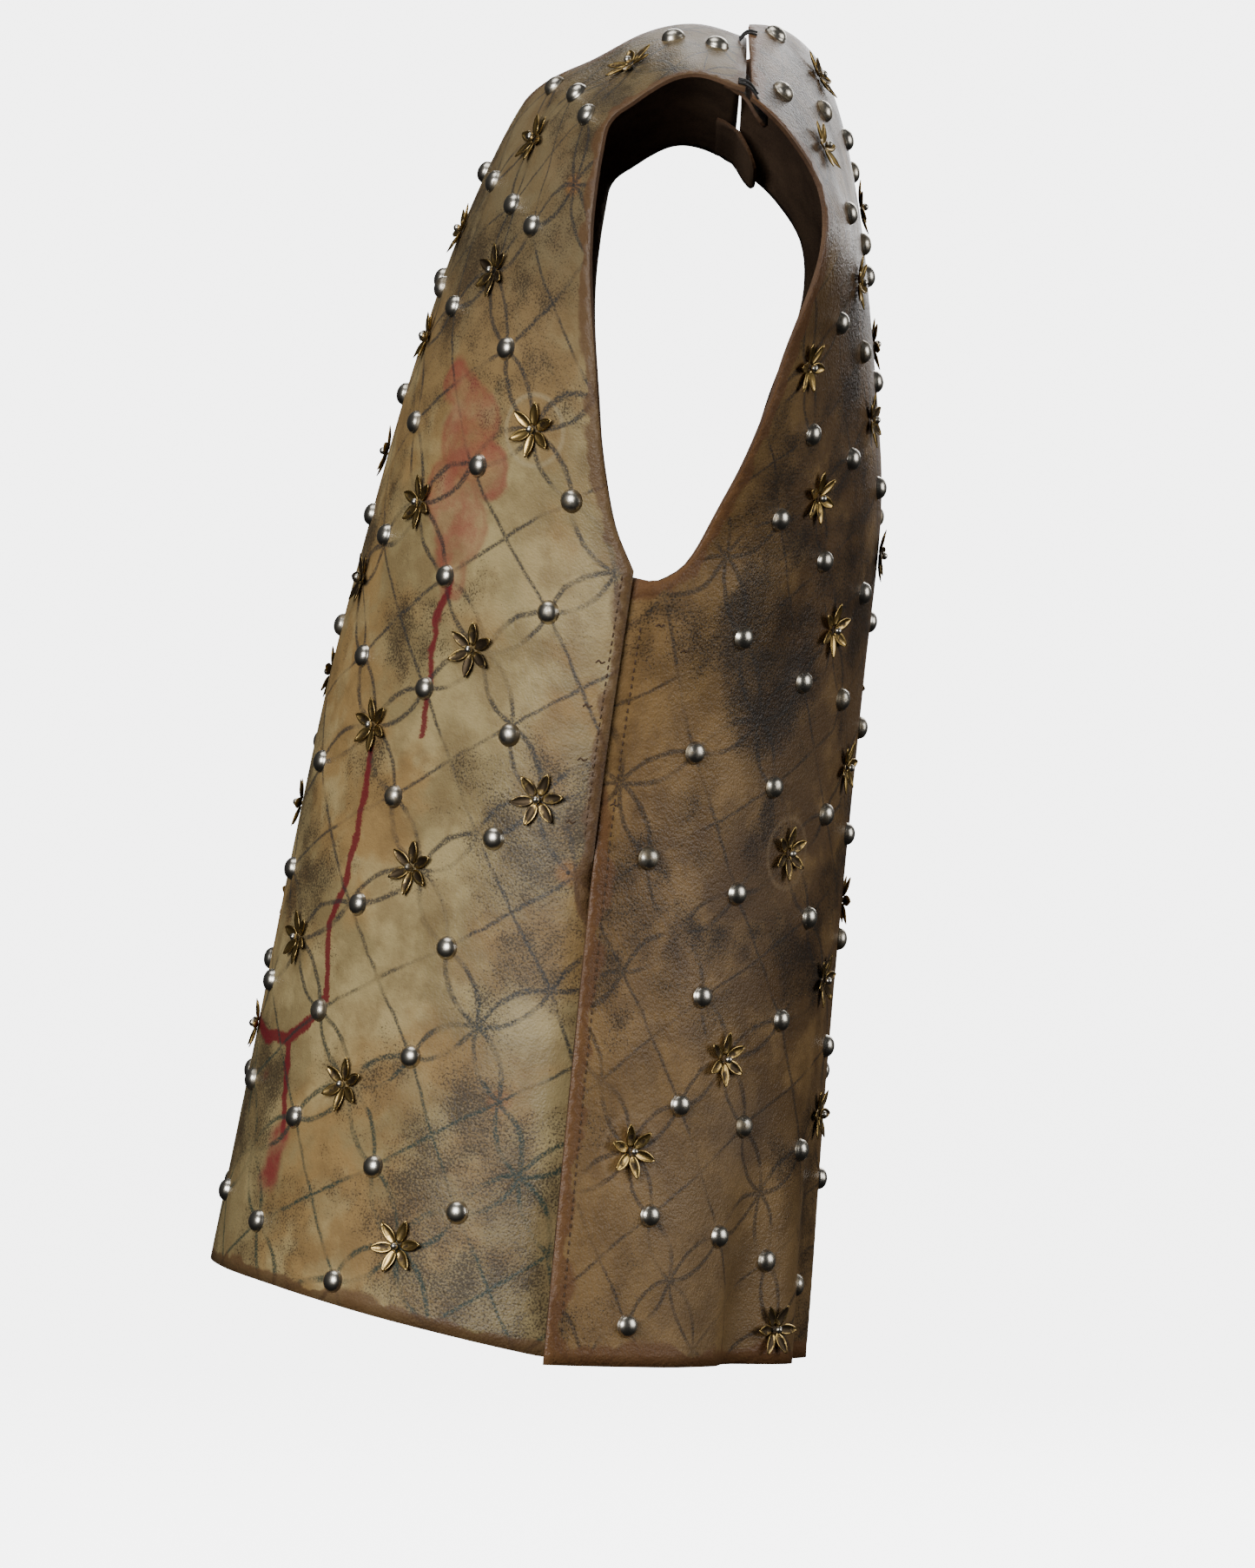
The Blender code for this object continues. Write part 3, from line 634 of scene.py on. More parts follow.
def triangulate(points, edges, border):
    """Triangles between the points that keep the given edges, inside the border only."""
    corners, _, triangles, *_ = delaunay_2d_cdt(
        [tuple(p) for p in points], edges, [], 0, MERGE_GAP, False
    )
    kept = []
    for triangle in triangles:
        a, b, c = (np.array(corners[i]) for i in triangle)
        flat = abs(np.cross(b - a, c - a)) < SLIVER_AREA
        if not flat and inside(border, *((a + b + c) / 3)):
            kept.append(triangle)
    return kept


def front_end(u):
    """The v at which the front's shoulder ends, at u."""
    outer, inner = FRONT["shoulder"]
    return np.interp(u, (inner[0], outer[0]), (inner[1], outer[1]))


def tab_skin(u, along):
    """The left tab's outer face. Beyond the shoulder's end it bends down as it goes back."""
    v = front_end(u) + np.minimum(along, 0)
    skin = partial(sheet, FRONT, BACK)
    sunk = WALL + GAP + TAB_SINK * smooth((along + TAB_SINK_RUN) / TAB_SINK_RUN)
    base = skin(u, v) - normal_of(skin, u, v) * sunk[..., None]
    way = skin(u, v) - skin(u, v - TAB_WAY_STEP)
    slope = math.atan2(-way[..., 2].mean(), way[..., 1].mean())
    length = np.maximum(along, 0)
    run = length[..., None] * (np.arange(TAB_BEND_PARTS) + 0.5) / TAB_BEND_PARTS
    bent = smooth((run + TAB_BEND_START) / TAB_BEND_RUN)
    angle = slope + (math.radians(TAB_DROOP) - slope) * bent
    back, down = np.cos(angle).mean(-1) * length, np.sin(angle).mean(-1) * length
    return base + np.stack([np.zeros_like(back), back, -down], -1)


def tab_border():
    """The tab's flat outline, anticlockwise, with its hanging end rounded."""
    left, right = TAB_SPAN
    straight = TAB_REACH - TAB_ROUND
    turns = np.linspace(0, math.pi / 2, TAB_ROUND_POINTS)
    arc = TAB_ROUND * np.column_stack([np.cos(turns), np.sin(turns)])
    return np.vstack([
        curve(((left, -TAB_UNDER), (right, -TAB_UNDER)), TAB_TOP_STEP)[:-1],
        curve(((right, -TAB_UNDER), (right, straight)), EDGE_STEP)[:-1],
        np.array([right - TAB_ROUND, straight]) + arc,
        np.array([left + TAB_ROUND, straight]) + arc[:, ::-1] * (-1, 1),
        curve(((left, straight), (left, -TAB_UNDER)), EDGE_STEP)[1:-1],
    ])


class Shade:
    """A procedural material, built up from sockets."""

    def __init__(self, name):
        self.material = bpy.data.materials.new(name)
        self.material.use_nodes = True
        self.tree = self.material.node_tree
        self.shader = self.tree.nodes["Principled BSDF"]

    def node(self, kind, inputs=(), **settings):
        made = self.tree.nodes.new(kind)
        for key, value in settings.items():
            setattr(made, key, value)
        for key, value in dict(inputs).items():
            self.put(made.inputs[key], value)
        return made

    def put(self, socket, value):
        if isinstance(value, bpy.types.NodeSocket):
            self.tree.links.new(value, socket)
        elif isinstance(value, tuple) and socket.type == "RGBA":
            socket.default_value = (*value[:3], 1.0)
        else:
            socket.default_value = value

    def math(self, operation, a, b=0.0):
        return self.node("ShaderNodeMath", {0: a, 1: b}, operation=operation).outputs[0]

    def scaled(self, value, gain, shift):
        return self.math("ADD", self.math("MULTIPLY", value, gain), shift)

    def vector(self, operation, a, b=(0.0, 0.0, 0.0)):
        return self.node("ShaderNodeVectorMath", {0: a, 1: b}, operation=operation)

    def ramp(self, value, low, high):
        sides = {"Value": value, "From Min": low, "From Max": high}
        made = self.node("ShaderNodeMapRange", sides, interpolation_type="SMOOTHSTEP")
        return made.outputs["Result"]

    def eased(self, value, low, high, gain, rest):
        return self.scaled(self.ramp(value, low, high), gain, rest)

    def noise(self, place, kind, output="Fac"):
        scale, detail, rough = GRAINS[kind]
        inputs = {"Vector": place, "Scale": scale, "Detail": detail, "Roughness": rough}
        return self.node("ShaderNodeTexNoise", inputs).outputs[output]

    def cells(self, place, scale):
        inputs = {"Vector": place, "Scale": scale}
        return self.node("ShaderNodeTexVoronoi", inputs).outputs["Distance"]

    def object_place(self):
        return self.node("ShaderNodeTexCoord").outputs["Object"]

    def mix(self, share, a, b):
        made = self.node("ShaderNodeMix", {0: share, 6: a, 7: b}, data_type="RGBA")
        return made.outputs[2]

    def over(self, colour, share, strength, paint):
        """One colour laid over another."""
        return self.mix(self.math("MULTIPLY", share, strength), colour, paint)

    def lay(self, colour, value, row, mask=None):
        """A row of PAINT laid over a colour, where the value rises from its start to its full."""
        low, high, strength, paint = row
        share = self.ramp(value, low, high)
        if mask is not None:
            share = self.math("MULTIPLY", share, mask)
        return self.over(colour, share, strength, paint)

    def attribute(self, name, output="Vector"):
        return self.node("ShaderNodeAttribute", attribute_name=name).outputs[output]

    def split(self, place):
        return self.node("ShaderNodeSeparateXYZ", {0: place}).outputs[:3]

    def moved(self, place, stir, reach):
        offset = self.vector("SUBTRACT", stir, (0.5, 0.5, 0.5)).outputs[0]
        offset = self.vector("MULTIPLY", offset, (reach, reach, 0.0)).outputs[0]
        return self.vector("ADD", place, offset).outputs[0]

    def stroke(self, place, row):
        """Distance from a straight stroke, less its half width."""
        u, v, to_u, to_v, half = row
        run = (to_u - u, to_v - v, 0.0)
        start = self.vector("SUBTRACT", place, (u, v, 0.0)).outputs[0]
        share = self.vector("DOT_PRODUCT", start, run).outputs["Value"]
        share = self.math("DIVIDE", share, run[0] ** 2 + run[1] ** 2)
        share = self.math("MINIMUM", self.math("MAXIMUM", share, 0.0), 1.0)
        scaled = self.node("ShaderNodeVectorMath", {0: run, "Scale": share}, operation="SCALE")
        gap = self.vector("SUBTRACT", start, scaled.outputs[0]).outputs[0]
        return self.math("SUBTRACT", self.vector("LENGTH", gap).outputs["Value"], half)

    def strokes(self, place, rows):
        nearest = self.stroke(place, rows[0])
        for row in rows[1:]:
            nearest = self.math("MINIMUM", nearest, self.stroke(place, row))
        return nearest

    def finish(self, colour, roughness, height=None, depth=0.0003, metallic=0.0):
        self.put(self.shader.inputs["Base Color"], colour)
        self.put(self.shader.inputs["Roughness"], roughness)
        self.put(self.shader.inputs["Metallic"], metallic)
        self.put(self.shader.inputs["Specular IOR Level"], 0.5 if metallic else 0.30)
        if height is not None:
            bump = self.node("ShaderNodeBump", {"Height": height, "Distance": depth})
            self.put(self.shader.inputs["Normal"], bump.outputs[0])
        return self.material


def hide_grain(shade, flat):
    """Pebbled grain with fine wrinkles, as a height."""
    wrinkle = shade.math("MULTIPLY", shade.noise(flat, "wrinkle"), WRINKLE_HEIGHT)
    return shade.scaled(shade.cells(flat, PEBBLES), PEBBLE_HEIGHT, wrinkle)


def pen_lines(shade, stir, speck, worn):
    """How much ink of the drawn net lies at a place: straight lines and pointed ovals."""
    net = shade.moved(shade.attribute("net"), stir, NET_STIR)

    def from_even(value):
        whole = shade.math("ROUND", shade.math("MULTIPLY", value, 0.5))
        gap = shade.math("SUBTRACT", value, shade.math("MULTIPLY", whole, 2.0))
        return shade.math("ABSOLUTE", gap)

    near_p, near_q = (from_even(value) for value in shade.split(net)[:2])
    ink = None
    for a, b in ((near_p, near_q), (near_q, near_p)):
        bow = shade.math("MULTIPLY", a, shade.math("SUBTRACT", 1.0, a))
        bow = shade.math("MULTIPLY", bow, OVAL_BOW)
        oval = shade.math("ABSOLUTE", shade.math("SUBTRACT", b, bow))
        line = shade.math("ADD", shade.math("SUBTRACT", 1.0, a), LINE_THIN)
        mark = shade.ramp(shade.math("MINIMUM", oval, line), *INK_MARK)
        ink = mark if ink is None else shade.math("MAXIMUM", ink, mark)
    ink = shade.math("MULTIPLY", ink, shade.eased(speck, *INK_GRAIN))
    return shade.math("MULTIPLY", ink, shade.eased(worn, *INK_WEAR))


def band(shade, key, rough, colour):
    """The dyed strip along the cut edge, uneven in width."""
    reach = shade.math("MULTIPLY", shade.math("ADD", rough, BAND_REST), BAND_WIDTH[key])
    share = shade.math("DIVIDE", shade.attribute("rim", "Fac"), reach)
    return shade.lay(colour, share, PAINT[key]["edge"])


def hide_base(shade):
    """What both hides start from: flat place, a shared stir, fine specks and tone fields."""
    flat = shade.attribute("flat")
    stir = shade.noise(flat, "stir", "Color")
    speck = shade.noise(flat, "speck")
    fields = shade.split(shade.attribute("tone")) + shade.split(shade.attribute("wear"))
    fine = shade.math("SUBTRACT", shade.split(stir)[0], 0.5)
    fine = shade.math("MULTIPLY", fine, FIELD_STIR)
    broken = [shade.math("ADD", field, fine) for field in fields]
    return flat, stir, speck, broken


def sooty(shade, key, colour, soot, speck):
    """Soot as a faint haze, with fine specks that thicken where there is more of it."""
    colour = shade.lay(colour, soot, PAINT[key]["haze"])
    grains = shade.scaled(soot, SOOT_SPECK, speck)
    return shade.lay(colour, grains, PAINT[key]["speck"])


def spot(shade, flat, u, v, radius):
    """Distance from the rim of a round spot, negative inside it."""
    return shade.stroke(flat, (u, v, u + SPOT_LENGTH, v, radius))


def rings(shade, key, panel, flat, colour):
    """Faint worn rings pressed in round a few rosettes."""
    crossings, radius = RINGS[key]
    for p, q in crossings:
        u, v = (float(c) for c in crossing(panel, p, q))
        gap = shade.math("ABSOLUTE", spot(shade, flat, u, v, radius))
        colour = shade.lay(colour, gap, PAINT[key]["ring"])
    return colour


def spill(shade, flat, stir, speck, colour):
    """The red spill on the front: a thin wash with a darker rim, runs and blots."""
    paint = PAINT["front"]
    spilled = shade.moved(flat, stir, SPILL_STIR)
    uneven = shade.eased(shade.split(stir)[2], *SPILL_UNEVEN)
    wash = shade.strokes(spilled, SPILL_PATCH)
    colour = shade.lay(colour, wash, paint["wash"], uneven)
    colour = shade.lay(colour, wash, paint["wash_edge"], shade.ramp(wash, *paint["wash"][:2]))
    broken = shade.math("MULTIPLY", shade.math("SUBTRACT", speck, 0.5), RUN_SPECK)
    runs = shade.strokes(shade.moved(flat, stir, RUN_STIR), SPILL_RUNS)
    colour = shade.lay(colour, shade.math("ADD", runs, broken), paint["run"])
    return shade.lay(colour, shade.strokes(spilled, SPILL_BLOTS), paint["blot"], uneven)


def front_leather():
    shade = Shade("front_leather")
    paint = PAINT["front"]
    flat, stir, speck, (wide, patch, soot, worn, rough, _) = hide_base(shade)
    v = shade.split(flat)[1]
    colour = shade.lay(GROUND["front"], wide, paint["rust"])
    colour = shade.lay(colour, patch, paint["pale"])
    # Painted shade: darker from the upper chest up over the shoulders
    colour = shade.lay(colour, v, paint["chest"])
    colour = shade.lay(colour, shade.split(stir)[1], paint["mottle"])
    colour = sooty(shade, "front", colour, soot, speck)
    colour = spill(shade, flat, stir, speck, colour)
    for halo_u, halo_v in HALOS:
        halo = spot(shade, flat, halo_u, halo_v, HALO_RADIUS)
        # Each halo, then painted shade for the stud's hole at its middle
        for name in ("halo", "hole_shade"):
            colour = shade.lay(colour, halo, paint[name])
    colour = rings(shade, "front", FRONT, flat, colour)
    strength, pen = INK["front"]
    pen = shade.lay(pen, v, paint["hem_ink"])
    colour = shade.over(colour, pen_lines(shade, stir, speck, worn), strength, pen)
    colour = band(shade, "front", rough, colour)
    sheen = shade.scaled(wide, *SHEEN["front"])
    return shade.finish(colour, sheen, hide_grain(shade, flat), GRAIN_DEPTH["front"])


def back_leather():
    shade = Shade("back_leather")
    paint = PAINT["back"]
    flat, stir, speck, (wide, patch, soot, worn, rough, drift) = hide_base(shade)
    u, v, _ = shade.split(flat)
    # Painted light: the back turns lighter and golden towards the side seam; the third wear field
    # only moves where it starts
    drift = shade.math("MULTIPLY", shade.math("SUBTRACT", drift, 0.5), SIDE_LIGHT_STIR)
    out = shade.math("ADD", shade.math("ABSOLUTE", u), drift)
    colour = shade.lay(GROUND["back"], out, paint["side"])
    colour = shade.lay(colour, patch, paint["pale"])
    # Painted light: lighter towards the hem
    colour = shade.lay(colour, v, paint["hem"])
    colour = shade.lay(colour, shade.split(stir)[1], paint["mottle"])
    colour = sooty(shade, "back", colour, soot, speck)
    misty = shade.moved(flat, stir, CLOUD_STIR)
    colour = shade.lay(colour, shade.stroke(misty, CLOUD), paint["cloud"])
    colour = rings(shade, "back", BACK, flat, colour)
    colour = shade.over(colour, pen_lines(shade, stir, speck, worn), *INK["back"])
    colour = band(shade, "back", rough, colour)
    sheen = shade.scaled(wide, *SHEEN["back"])
    return shade.finish(colour, sheen, hide_grain(shade, flat), GRAIN_DEPTH["back"])


def plain_leather(name, dark, light, roughness):
    """Suede side, cut edge and tab: a mottled nap."""
    shade = Shade(name)
    place = shade.object_place()
    wide, nap = shade.noise(place, "wide"), shade.noise(place, "nap")
    share = shade.math("ADD", shade.math("MULTIPLY", wide, 0.7), shade.math("MULTIPLY", nap, 0.3))
    colour = shade.mix(shade.ramp(share, 0.35, 0.65), dark, light)
    return shade.finish(colour, roughness, nap, 0.0002)


def metal(name, bright, dull, roughness, tarnish_and_reflection):
    """Metal whose tarnish, with a stud's painted reflection at its foot, starts at a rank that the
    caller gives, and is rougher where dull.
    """
    shade = Shade(name)
    place = shade.object_place()
    # Tarnish read from the mesh, with the painted reflection at a stud's foot
    patina_and_reflection = shade.math("ADD", shade.noise(place, "cloudy"), shade.attribute("tarnish_and_reflection", "Fac"))
    patina_and_reflection = shade.ramp(patina_and_reflection, tarnish_and_reflection, tarnish_and_reflection + 0.2)
    rough = shade.scaled(patina_and_reflection, 0.22, roughness)
    fine = shade.noise(place, "fine")
    return shade.finish(shade.mix(patina_and_reflection, bright, dull), rough, fine, 0.00002, metallic=1.0)


def thread_material(name, colour):
    """Twisted thread, with a painted highlight on the strands' crowns."""
    shade = Shade(name)
    twist = shade.noise(shade.object_place(), "twist")
    # Painted highlight: lighter where the twist's bump stands up
    shown = shade.mix(twist, colour, tuple(1.8 * c for c in colour))
    return shade.finish(shown, 0.6, twist, 0.0001)


def relief(panel, u, v):
    """How far the worn hide stands out of its smooth form. None beside the side seam."""
    total = np.zeros_like(u)
    key = "front" if panel["facing"] < 0 else "back"
    for cu, cv, tilt, length, width, depth in CREASES[key]:
        c, s = math.cos(math.radians(tilt)), math.sin(math.radians(tilt))
        along, across = (u - cu) * c + (v - cv) * s, (v - cv) * c - (u - cu) * s
        total += depth * np.exp(-((along / length) ** 2) - (across / width) ** 2)
    inset, fade = DENT_SIDE
    clear = smooth((side_width(panel, v) - np.abs(u) - inset) / fade)
    top, fade = DENT_TOP
    return total * np.where(v < SIDE_TOP + SIDE_MARGIN, clear, smooth((top - v) / fade + 1))


def placed(panel, other, u, v, lift):
    """Points of a panel's skin, moved out along its normal."""
    skin = partial(sheet, panel, other)
    outward = normal_of(skin, u, v) * -panel["facing"]
    return skin(u, v) + outward * (lift + relief(panel, u, v))[:, None]


def tone_fields(flat, blobs, scales):
    """One tone field for each scale, side by side."""
    rows = enumerate(zip(blobs, scales))
    return np.column_stack([tone_field(flat, s, SEED_STEP * k + s, b) for k, (b, s) in rows])


def tone_field(flat, scale, seed, blobs):
    """A soft field over a panel, as each place's rank from 0 to 1. Blobs raise it near them."""
    raw = np.array([noise.fractal((u * scale, v * scale, seed), *TONE_NOISE) for u, v in flat])
    for u, v, radius, amount in blobs:
        gap = np.linalg.norm((np.abs(flat[:, 0]) - u, flat[:, 1] - v), axis=0) / radius
        raw = raw + raw.std() * amount * np.exp(-(gap**2))
    return np.argsort(np.argsort(raw)) / (len(raw) - 1)


def keep_numbers(mesh, name, values):
    """Numbers at a mesh's points, kept for its material under a name."""
    kind = "FLOAT" if values.ndim == 1 else "FLOAT_VECTOR"
    attribute = mesh.attributes.new(name, kind, "POINT")
    attribute.data.foreach_set("value" if kind == "FLOAT" else "vector", values.ravel())


def linked(name, data):
    """A new object in the scene."""
    obj = bpy.data.objects.new(name, data)
    bpy.context.collection.objects.link(obj)
    return obj


def smooth_mesh(name, points, faces, materials):
    """A new mesh with smooth faces."""
    mesh = bpy.data.meshes.new(name)
    mesh.from_pydata([tuple(p) for p in points], [], [tuple(f) for f in faces])
    for material in materials:
        mesh.materials.append(material)
    mesh.polygons.foreach_set("use_smooth", [True] * len(mesh.polygons))
    return mesh


def add_piece(name, data):
    """One named piece of the tunic, which rides its only body."""
    obj = linked(name, data)
    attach(obj, "root")
    return obj


def sewn_shell(name, top, low, faces, count, turned, materials):
    """An outer and an inner skin joined along their border, the first count points of each."""
    start = len(top)
    outer = [tuple(f) for f in faces]
    inner = [tuple(start + i for i in reversed(f)) for f in faces]
    ends = [((i + 1) % count, i, start + i, start + (i + 1) % count) for i in range(count)]
    mesh = smooth_mesh(name, np.vstack([top, low]), outer + inner + ends, materials)
    index = [0] * len(outer) + [1] * len(inner) + [2] * len(ends)
    mesh.polygons.foreach_set("material_index", index)
    mesh.polygons.foreach_set("use_smooth", [i < 2 for i in index])
    if turned:
        mesh.flip_normals()
    return add_piece(name, mesh)


def flat_mesh(border, spacing):
    """Flat points, the border's first, and the triangles between them."""
    count = len(border)
    rim = [(i, (i + 1) % count) for i in range(count)]
    flat = np.array([tuple(p) for p in border] + grid(border, spacing))
    return flat, triangulate(flat, rim, border)


def stand_for(node):
    """Hides the node that a shell replaces."""
    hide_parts(node)


def panel_shell(key, panel, other, leather):
    """One panel as a thin hide, with the flat places and tones that its material reads."""
    name, slot = f"{key}_hide", f"{key}_leather"
    border = outline(panel)
    flat, faces = flat_mesh(border, GRID)
    u, v = flat.T
    top = placed(panel, other, u, v, np.zeros(len(flat)))
    low = placed(panel, other, u, v, np.full(len(flat), -WALL))
    skins = [leather, INSIDE, CUT_EDGE]
    obj = sewn_shell(name, top, low, faces, len(border), panel["facing"] > 0, skins)
    zero = np.zeros((len(flat), 1))
    for field, values in (
        ("flat", np.hstack([flat, zero])),
        ("net", np.hstack([net_place(panel, u, v), zero])),
        ("rim", np.array([edge_distance(border, *place) for place in flat])),
        ("tone", tone_fields(flat, TONES[name], TONE_SCALES)),
        ("wear", tone_fields(flat, ((), (), ()), WEAR_SCALES)),
    ):
        keep_numbers(obj.data, field, np.concatenate([values, values]))
    stand_for(f"{key}_panel")


def tab_shell(key, side):
    """The leather tab behind one shoulder's end. The right one is the left one's mirror."""
    border = tab_border()
    flat, faces = flat_mesh(border, TAB_GRID)
    top = tab_skin(*flat.T)
    low = top - normal_of(tab_skin, *flat.T) * TAB_WALL
    mirror = (side, 1, 1)
    skins = [TAB_FACE, INSIDE, CUT_EDGE]
    obj = sewn_shell(f"tab_{key}", top * mirror, low * mirror, faces, len(border), side < 0,
                     skins)
    stand_for(f"shoulder_tab_{key}")


def tube_faces(rings, sides):
    """Faces between each ring of points and the next."""
    faces = []
    for start in range(0, (rings - 1) * sides, sides):
        for i in range(sides):
            j = (i + 1) % sides
            faces.append((start + i, start + j, start + sides + j, start + sides + i))
    return faces


def lathe(profile, sides):
    """Points and faces of a turned form: rings of radius and height, closed by a last point."""
    angle = np.arange(sides) * 2 * math.pi / sides
    turned = [np.column_stack([r * np.cos(angle), r * np.sin(angle), np.full(sides, z)])
              for r, z in profile[:-1]]
    points = np.vstack(turned + [[(0.0, 0.0, profile[-1][1])]])
    faces = tube_faces(len(turned), sides)
    last = (len(turned) - 1) * sides
    faces += [(last + i, last + (i + 1) % sides, len(points) - 1) for i in range(sides)]
    return points, faces


def stud_form():
    """A dome on a short foot, with a painted dark reflection towards the foot."""
    turns = np.linspace(0.10, math.pi / 2, STUD_RINGS)
    dome = [(STUD_RADIUS * 0.97 * math.cos(t), STUD_HEIGHT * math.sin(t) ** 0.94) for t in turns]
    points, faces = lathe([(STUD_RADIUS, -0.0006), (STUD_RADIUS, 0.0003)] + dome, STUD_SIDES)
    # The third part is painted reflection: darker towards the foot, where the stud mirrors the
    # leather
    return points, faces, 0.16 * (1 - points[:, 2] / STUD_HEIGHT) ** 2


def ball_form():
    """The bright ball at a rosette's middle."""
    turns = np.linspace(-1.2, math.pi / 2, STUD_RINGS)
    rows = [(BALL_RADIUS * math.cos(t), BALL_HEIGHT + BALL_RADIUS * math.sin(t)) for t in turns]
    points, faces = lathe(rows, BALL_SIDES)
    return points, faces, np.zeros(len(points))


def petals_form():
    """Six channelled petals that curl up to a point, top side only, dark in the channel."""
    points, faces, patina_and_reflection = [], [], []
    along, across = np.linspace(0, 1, PETAL_ROWS), np.linspace(-1, 1, PETAL_COLUMNS)
    for k in range(6):
        angle = math.pi / 6 + k * math.pi / 3
        start = len(points)
        for s in along:
            bulge = math.sin(math.pi * s)
            half = PETAL_WIDTH * (math.sin(math.pi * s**0.85) ** 0.75 * 0.9 + 0.10 * (1 - s))
            x = PETAL_START + (PETAL_REACH - PETAL_START) * s
            for t in across:
                y = half * t
                z = 0.0009 + PETAL_CURL * s**2.2 + 0.0011 * t * t * bulge
                points.append((x * math.cos(angle) - y * math.sin(angle),
                               x * math.sin(angle) + y * math.cos(angle), z))
                patina_and_reflection.append(0.26 * (1 - t * t) * bulge - 0.12)
        for a in range(PETAL_ROWS - 1):
            for b in range(PETAL_COLUMNS - 1):
                i = start + PETAL_COLUMNS * a + b
                faces.append((i, i + PETAL_COLUMNS, i + PETAL_COLUMNS + 1, i + 1))
    return np.array(points), faces, np.array(patina_and_reflection)


def stitch_form():
    """One short stitch, a flattened six-sided thread that thins at its ends."""
    points = []
    for x, r in STITCH_PROFILE:
        for turn in np.arange(6) * math.pi / 3:
            points.append((x * STITCH_LENGTH, 0.00045 * r * math.cos(turn),
                           0.0001 + 0.00042 * r * math.sin(turn)))
    return np.array(points), tube_faces(len(STITCH_PROFILE), 6), np.zeros(len(points))


def scatter(name, panel, other, form, places, material, tarnish_and_reflection):
    """Copies of one form on a panel's skin, joined: places are u, v, turn."""
    u, v, turn = np.array(places, float).T
    skin = partial(placed, panel, other, lift=np.zeros(len(u)))
    across = skin(u + BEAD_STEP, v) - skin(u - BEAD_STEP, v)
    out = np.cross(across, skin(u, v + BEAD_STEP) - skin(u, v - BEAD_STEP)) * -panel["facing"]
    across /= np.linalg.norm(across, axis=1, keepdims=True)
    out /= np.linalg.norm(out, axis=1, keepdims=True)
    side = np.cross(out, across)
    points, faces, patina_and_reflection = form
    c, s = np.cos(turn)[:, None], np.sin(turn)[:, None]
    x = points[None, :, 0] * c - points[None, :, 1] * s
    y = points[None, :, 0] * s + points[None, :, 1] * c
    z = np.broadcast_to(points[None, :, 2], x.shape)
    spread = skin(u, v)[:, None] + x[..., None] * across[:, None] + y[..., None] * side[:, None]
    spread = spread + z[..., None] * out[:, None]
    count = len(points)
    joined = [tuple(i + k * count for i in face) for k in range(len(u)) for face in faces]
    mesh = smooth_mesh(name, spread.reshape(-1, 3), joined, [material])
    # Random tarnish for each copy plus the form's own darkening: patina in the petals, painted
    # reflection at a stud's foot
    keep_numbers(mesh, "tarnish_and_reflection", np.repeat(tarnish_and_reflection, count) + np.tile(patina_and_reflection, len(u)))
    return add_piece(name, mesh)


def dress_panel(key, panel, other):
    """Studs, rosettes and their middles on one panel."""
    found = beads(panel)
    rng = np.random.default_rng(SEEDS[key])
    for kind, form, name, look in (
        ("stud", stud_form(), "studs", "stud"),
        ("flower", petals_form(), "rosettes", "flower"),
        ("flower", ball_form(), "rosette_balls", "stud"),
    ):
        rows = [(u, v, turn) for what, u, v, turn in found if what == kind]
        tarnish_and_reflection = rng.uniform(*TARNISH, len(rows))
        obj = scatter(f"{name}_{key}", panel, other, form, rows, METALS[look], tarnish_and_reflection)
        if name == "rosettes":
            thick = obj.modifiers.new("thick", "SOLIDIFY")
            thick.thickness = PETAL_WALL
            thick.offset = -1.0


def sew(name, panel, other, rows):
    """Brown stitches at the given u, v, turn."""
    none = np.zeros(len(rows))
    scatter(name, panel, other, stitch_form(), rows, BROWN_THREAD, none)


def side_stitches(key, panel, other):
    """A row of stitches along each of a panel's side edges."""
    low, high, inset = STITCH_ROWS[key]
    rows = []
    for v in np.arange(low, high, STITCH_STEP):
        width = float(side_width(panel, np.array(v)))
        rows += [(side * (width - inset), v, math.pi / 2) for side in (-1, 1)]
    sew(f"stitches_{key}", panel, other, rows)


def tacks(key, panel, other):
    """Small crossed tacks beside the seam, on both sides."""
    rows = [
        (side * (u + TACK_STEP * k), v, side * turn)
        for u, v in TACKS[key] for side in (-1, 1) for k, turn in TACK_TURNS
    ]
    sew(f"tacks_{key}", panel, other, rows)


def shoulder_threads(name, side, material):
    """Black threads that tie a front shoulder's end to the back's edge."""
    data = bpy.data.curves.new(name, "CURVE")
    data.dimensions = "3D"
    data.bevel_depth = THREAD_RADIUS
    data.bevel_resolution = 2
    data.use_fill_caps = True
    data.materials.append(material)
    line = curve(BACK["shoulder"], 0.001)
    lift = np.full(len(line), THREAD_LIFT)
    edge = placed(BACK, FRONT, line[:, 0], line[:, 1] - THREAD_INSET, lift)
    for start in THREAD_STARTS:
        for k in range(THREAD_COUNT):
            u = np.array([start + THREAD_STEP * k])
            a = placed(FRONT, BACK, u, front_end(u) - THREAD_INSET, lift[:1])[0]
            b = edge[np.abs(edge[:, 0] - a[0] - THREAD_CROSS * (-1) ** k).argmin()]
            middle = (a + b) / 2 + (0, 0, THREAD_BOW)
            spline = data.splines.new("BEZIER")
            spline.bezier_points.add(2)
            for point, place in zip(spline.bezier_points, (a, middle, b)):
                point.co = tuple(place * (side, 1, 1))
                point.handle_left_type = point.handle_right_type = "AUTO"
    add_piece(name, data)


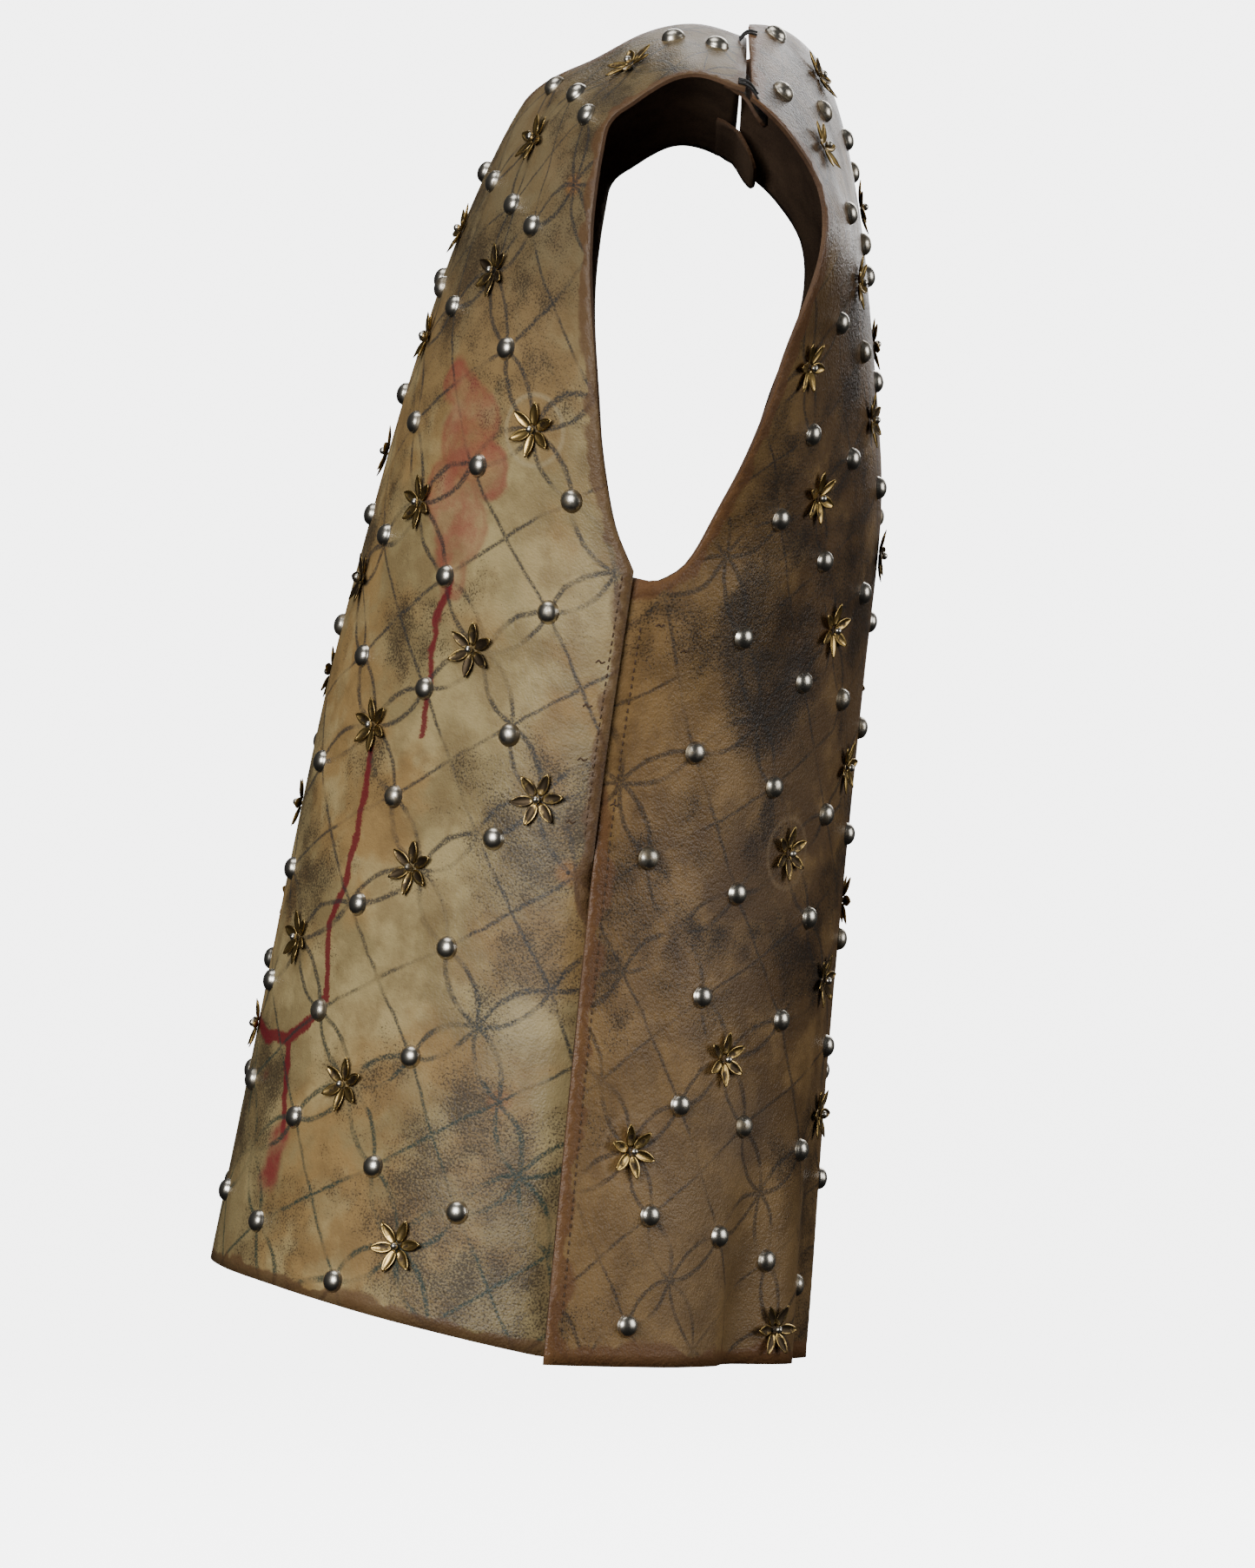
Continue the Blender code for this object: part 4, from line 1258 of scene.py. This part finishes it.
def floor_bowl():
    """Pale floor that sweeps up all round, seen by the camera and otherwise without effect."""
    shade = Shade("floor")
    tone = shade.noise(shade.object_place(), "floor")
    shade.put(shade.shader.inputs["Emission Color"], (1.0, 1.0, 1.0))
    shade.put(shade.shader.inputs["Emission Strength"], FLOOR_GLOW)
    material = shade.finish(shade.mix(tone, *FLOOR_TONES), 0.9)
    floor = linked("floor", smooth_mesh("floor", *lathe(BOWL, BOWL_SIDES), [material]))
    floor.visible_diffuse = floor.visible_glossy = floor.visible_shadow = False


def lamp(name, place, size, power):
    """A square lamp that the camera doesn't see, turned to the tunic."""
    data = bpy.data.lights.new(name, "AREA")
    data.size, data.energy = size, power
    light, aim = linked(name, data), linked(name + "_aim", None)
    light.location, light.visible_camera = place, False
    aim.location = LAMP_AIM
    turn = light.constraints.new("TRACK_TO")
    turn.target, turn.track_axis, turn.up_axis = aim, "TRACK_NEGATIVE_Z", "UP_Y"


def sky():
    """Even light from all round, stronger from above."""
    world = bpy.context.scene.world or bpy.data.worlds.new("world")
    bpy.context.scene.world = world
    world.use_nodes = True
    nodes, links = world.node_tree.nodes, world.node_tree.links
    split, rise = nodes.new("ShaderNodeSeparateXYZ"), nodes.new("ShaderNodeMapRange")
    links.new(nodes.new("ShaderNodeTexCoord").outputs["Generated"], split.inputs[0])
    links.new(split.outputs["Z"], rise.inputs["Value"])
    for key, value in SKY_RISE.items():
        rise.inputs[key].default_value = value
    links.new(rise.outputs["Result"], nodes["Background"].inputs["Strength"])


def camera():
    """The photograph's level view from the wearer's left."""
    data = bpy.data.cameras.new("camera")
    data.lens, data.sensor_width = LENS, SENSOR
    view = linked("camera", data)
    view.location = CAMERA_PLACE
    view.rotation_euler = (math.pi / 2, 0.0, math.pi / 2)
    bpy.context.scene.camera = view


INSIDE = plain_leather("inside_suede", (0.050, 0.028, 0.016), (0.115, 0.070, 0.040), 0.85)
CUT_EDGE = plain_leather("cut_edge", (0.060, 0.030, 0.015), (0.125, 0.065, 0.030), 0.7)
TAB_FACE = plain_leather("tab_face", (0.070, 0.045, 0.028), (0.16, 0.11, 0.07), 0.7)
METALS = {
    "stud": metal("stud_nickel", (0.60, 0.56, 0.48), (0.24, 0.20, 0.14), 0.30, 0.62),
    "flower": metal("rosette_brass", (0.50, 0.34, 0.12), (0.070, 0.050, 0.030), 0.32, 0.46),
}
BLACK_THREAD = thread_material("black_thread", (0.012, 0.011, 0.010))
BROWN_THREAD = thread_material("brown_thread", (0.060, 0.034, 0.018))

panel_shell("front", FRONT, BACK, front_leather())
panel_shell("back", BACK, FRONT, back_leather())
for side_name, side_sign in (("left", 1), ("right", -1)):
    tab_shell(side_name, side_sign)
    shoulder_threads(f"threads_{side_name}", side_sign, BLACK_THREAD)
dress_panel("front", FRONT, BACK)
dress_panel("back", BACK, FRONT)
side_stitches("back", BACK, FRONT)
side_stitches("front", FRONT, BACK)
tacks("front", FRONT, BACK)
tacks("back", BACK, FRONT)
floor_bowl()
for row in LAMPS:
    lamp(*row)
sky()
camera()
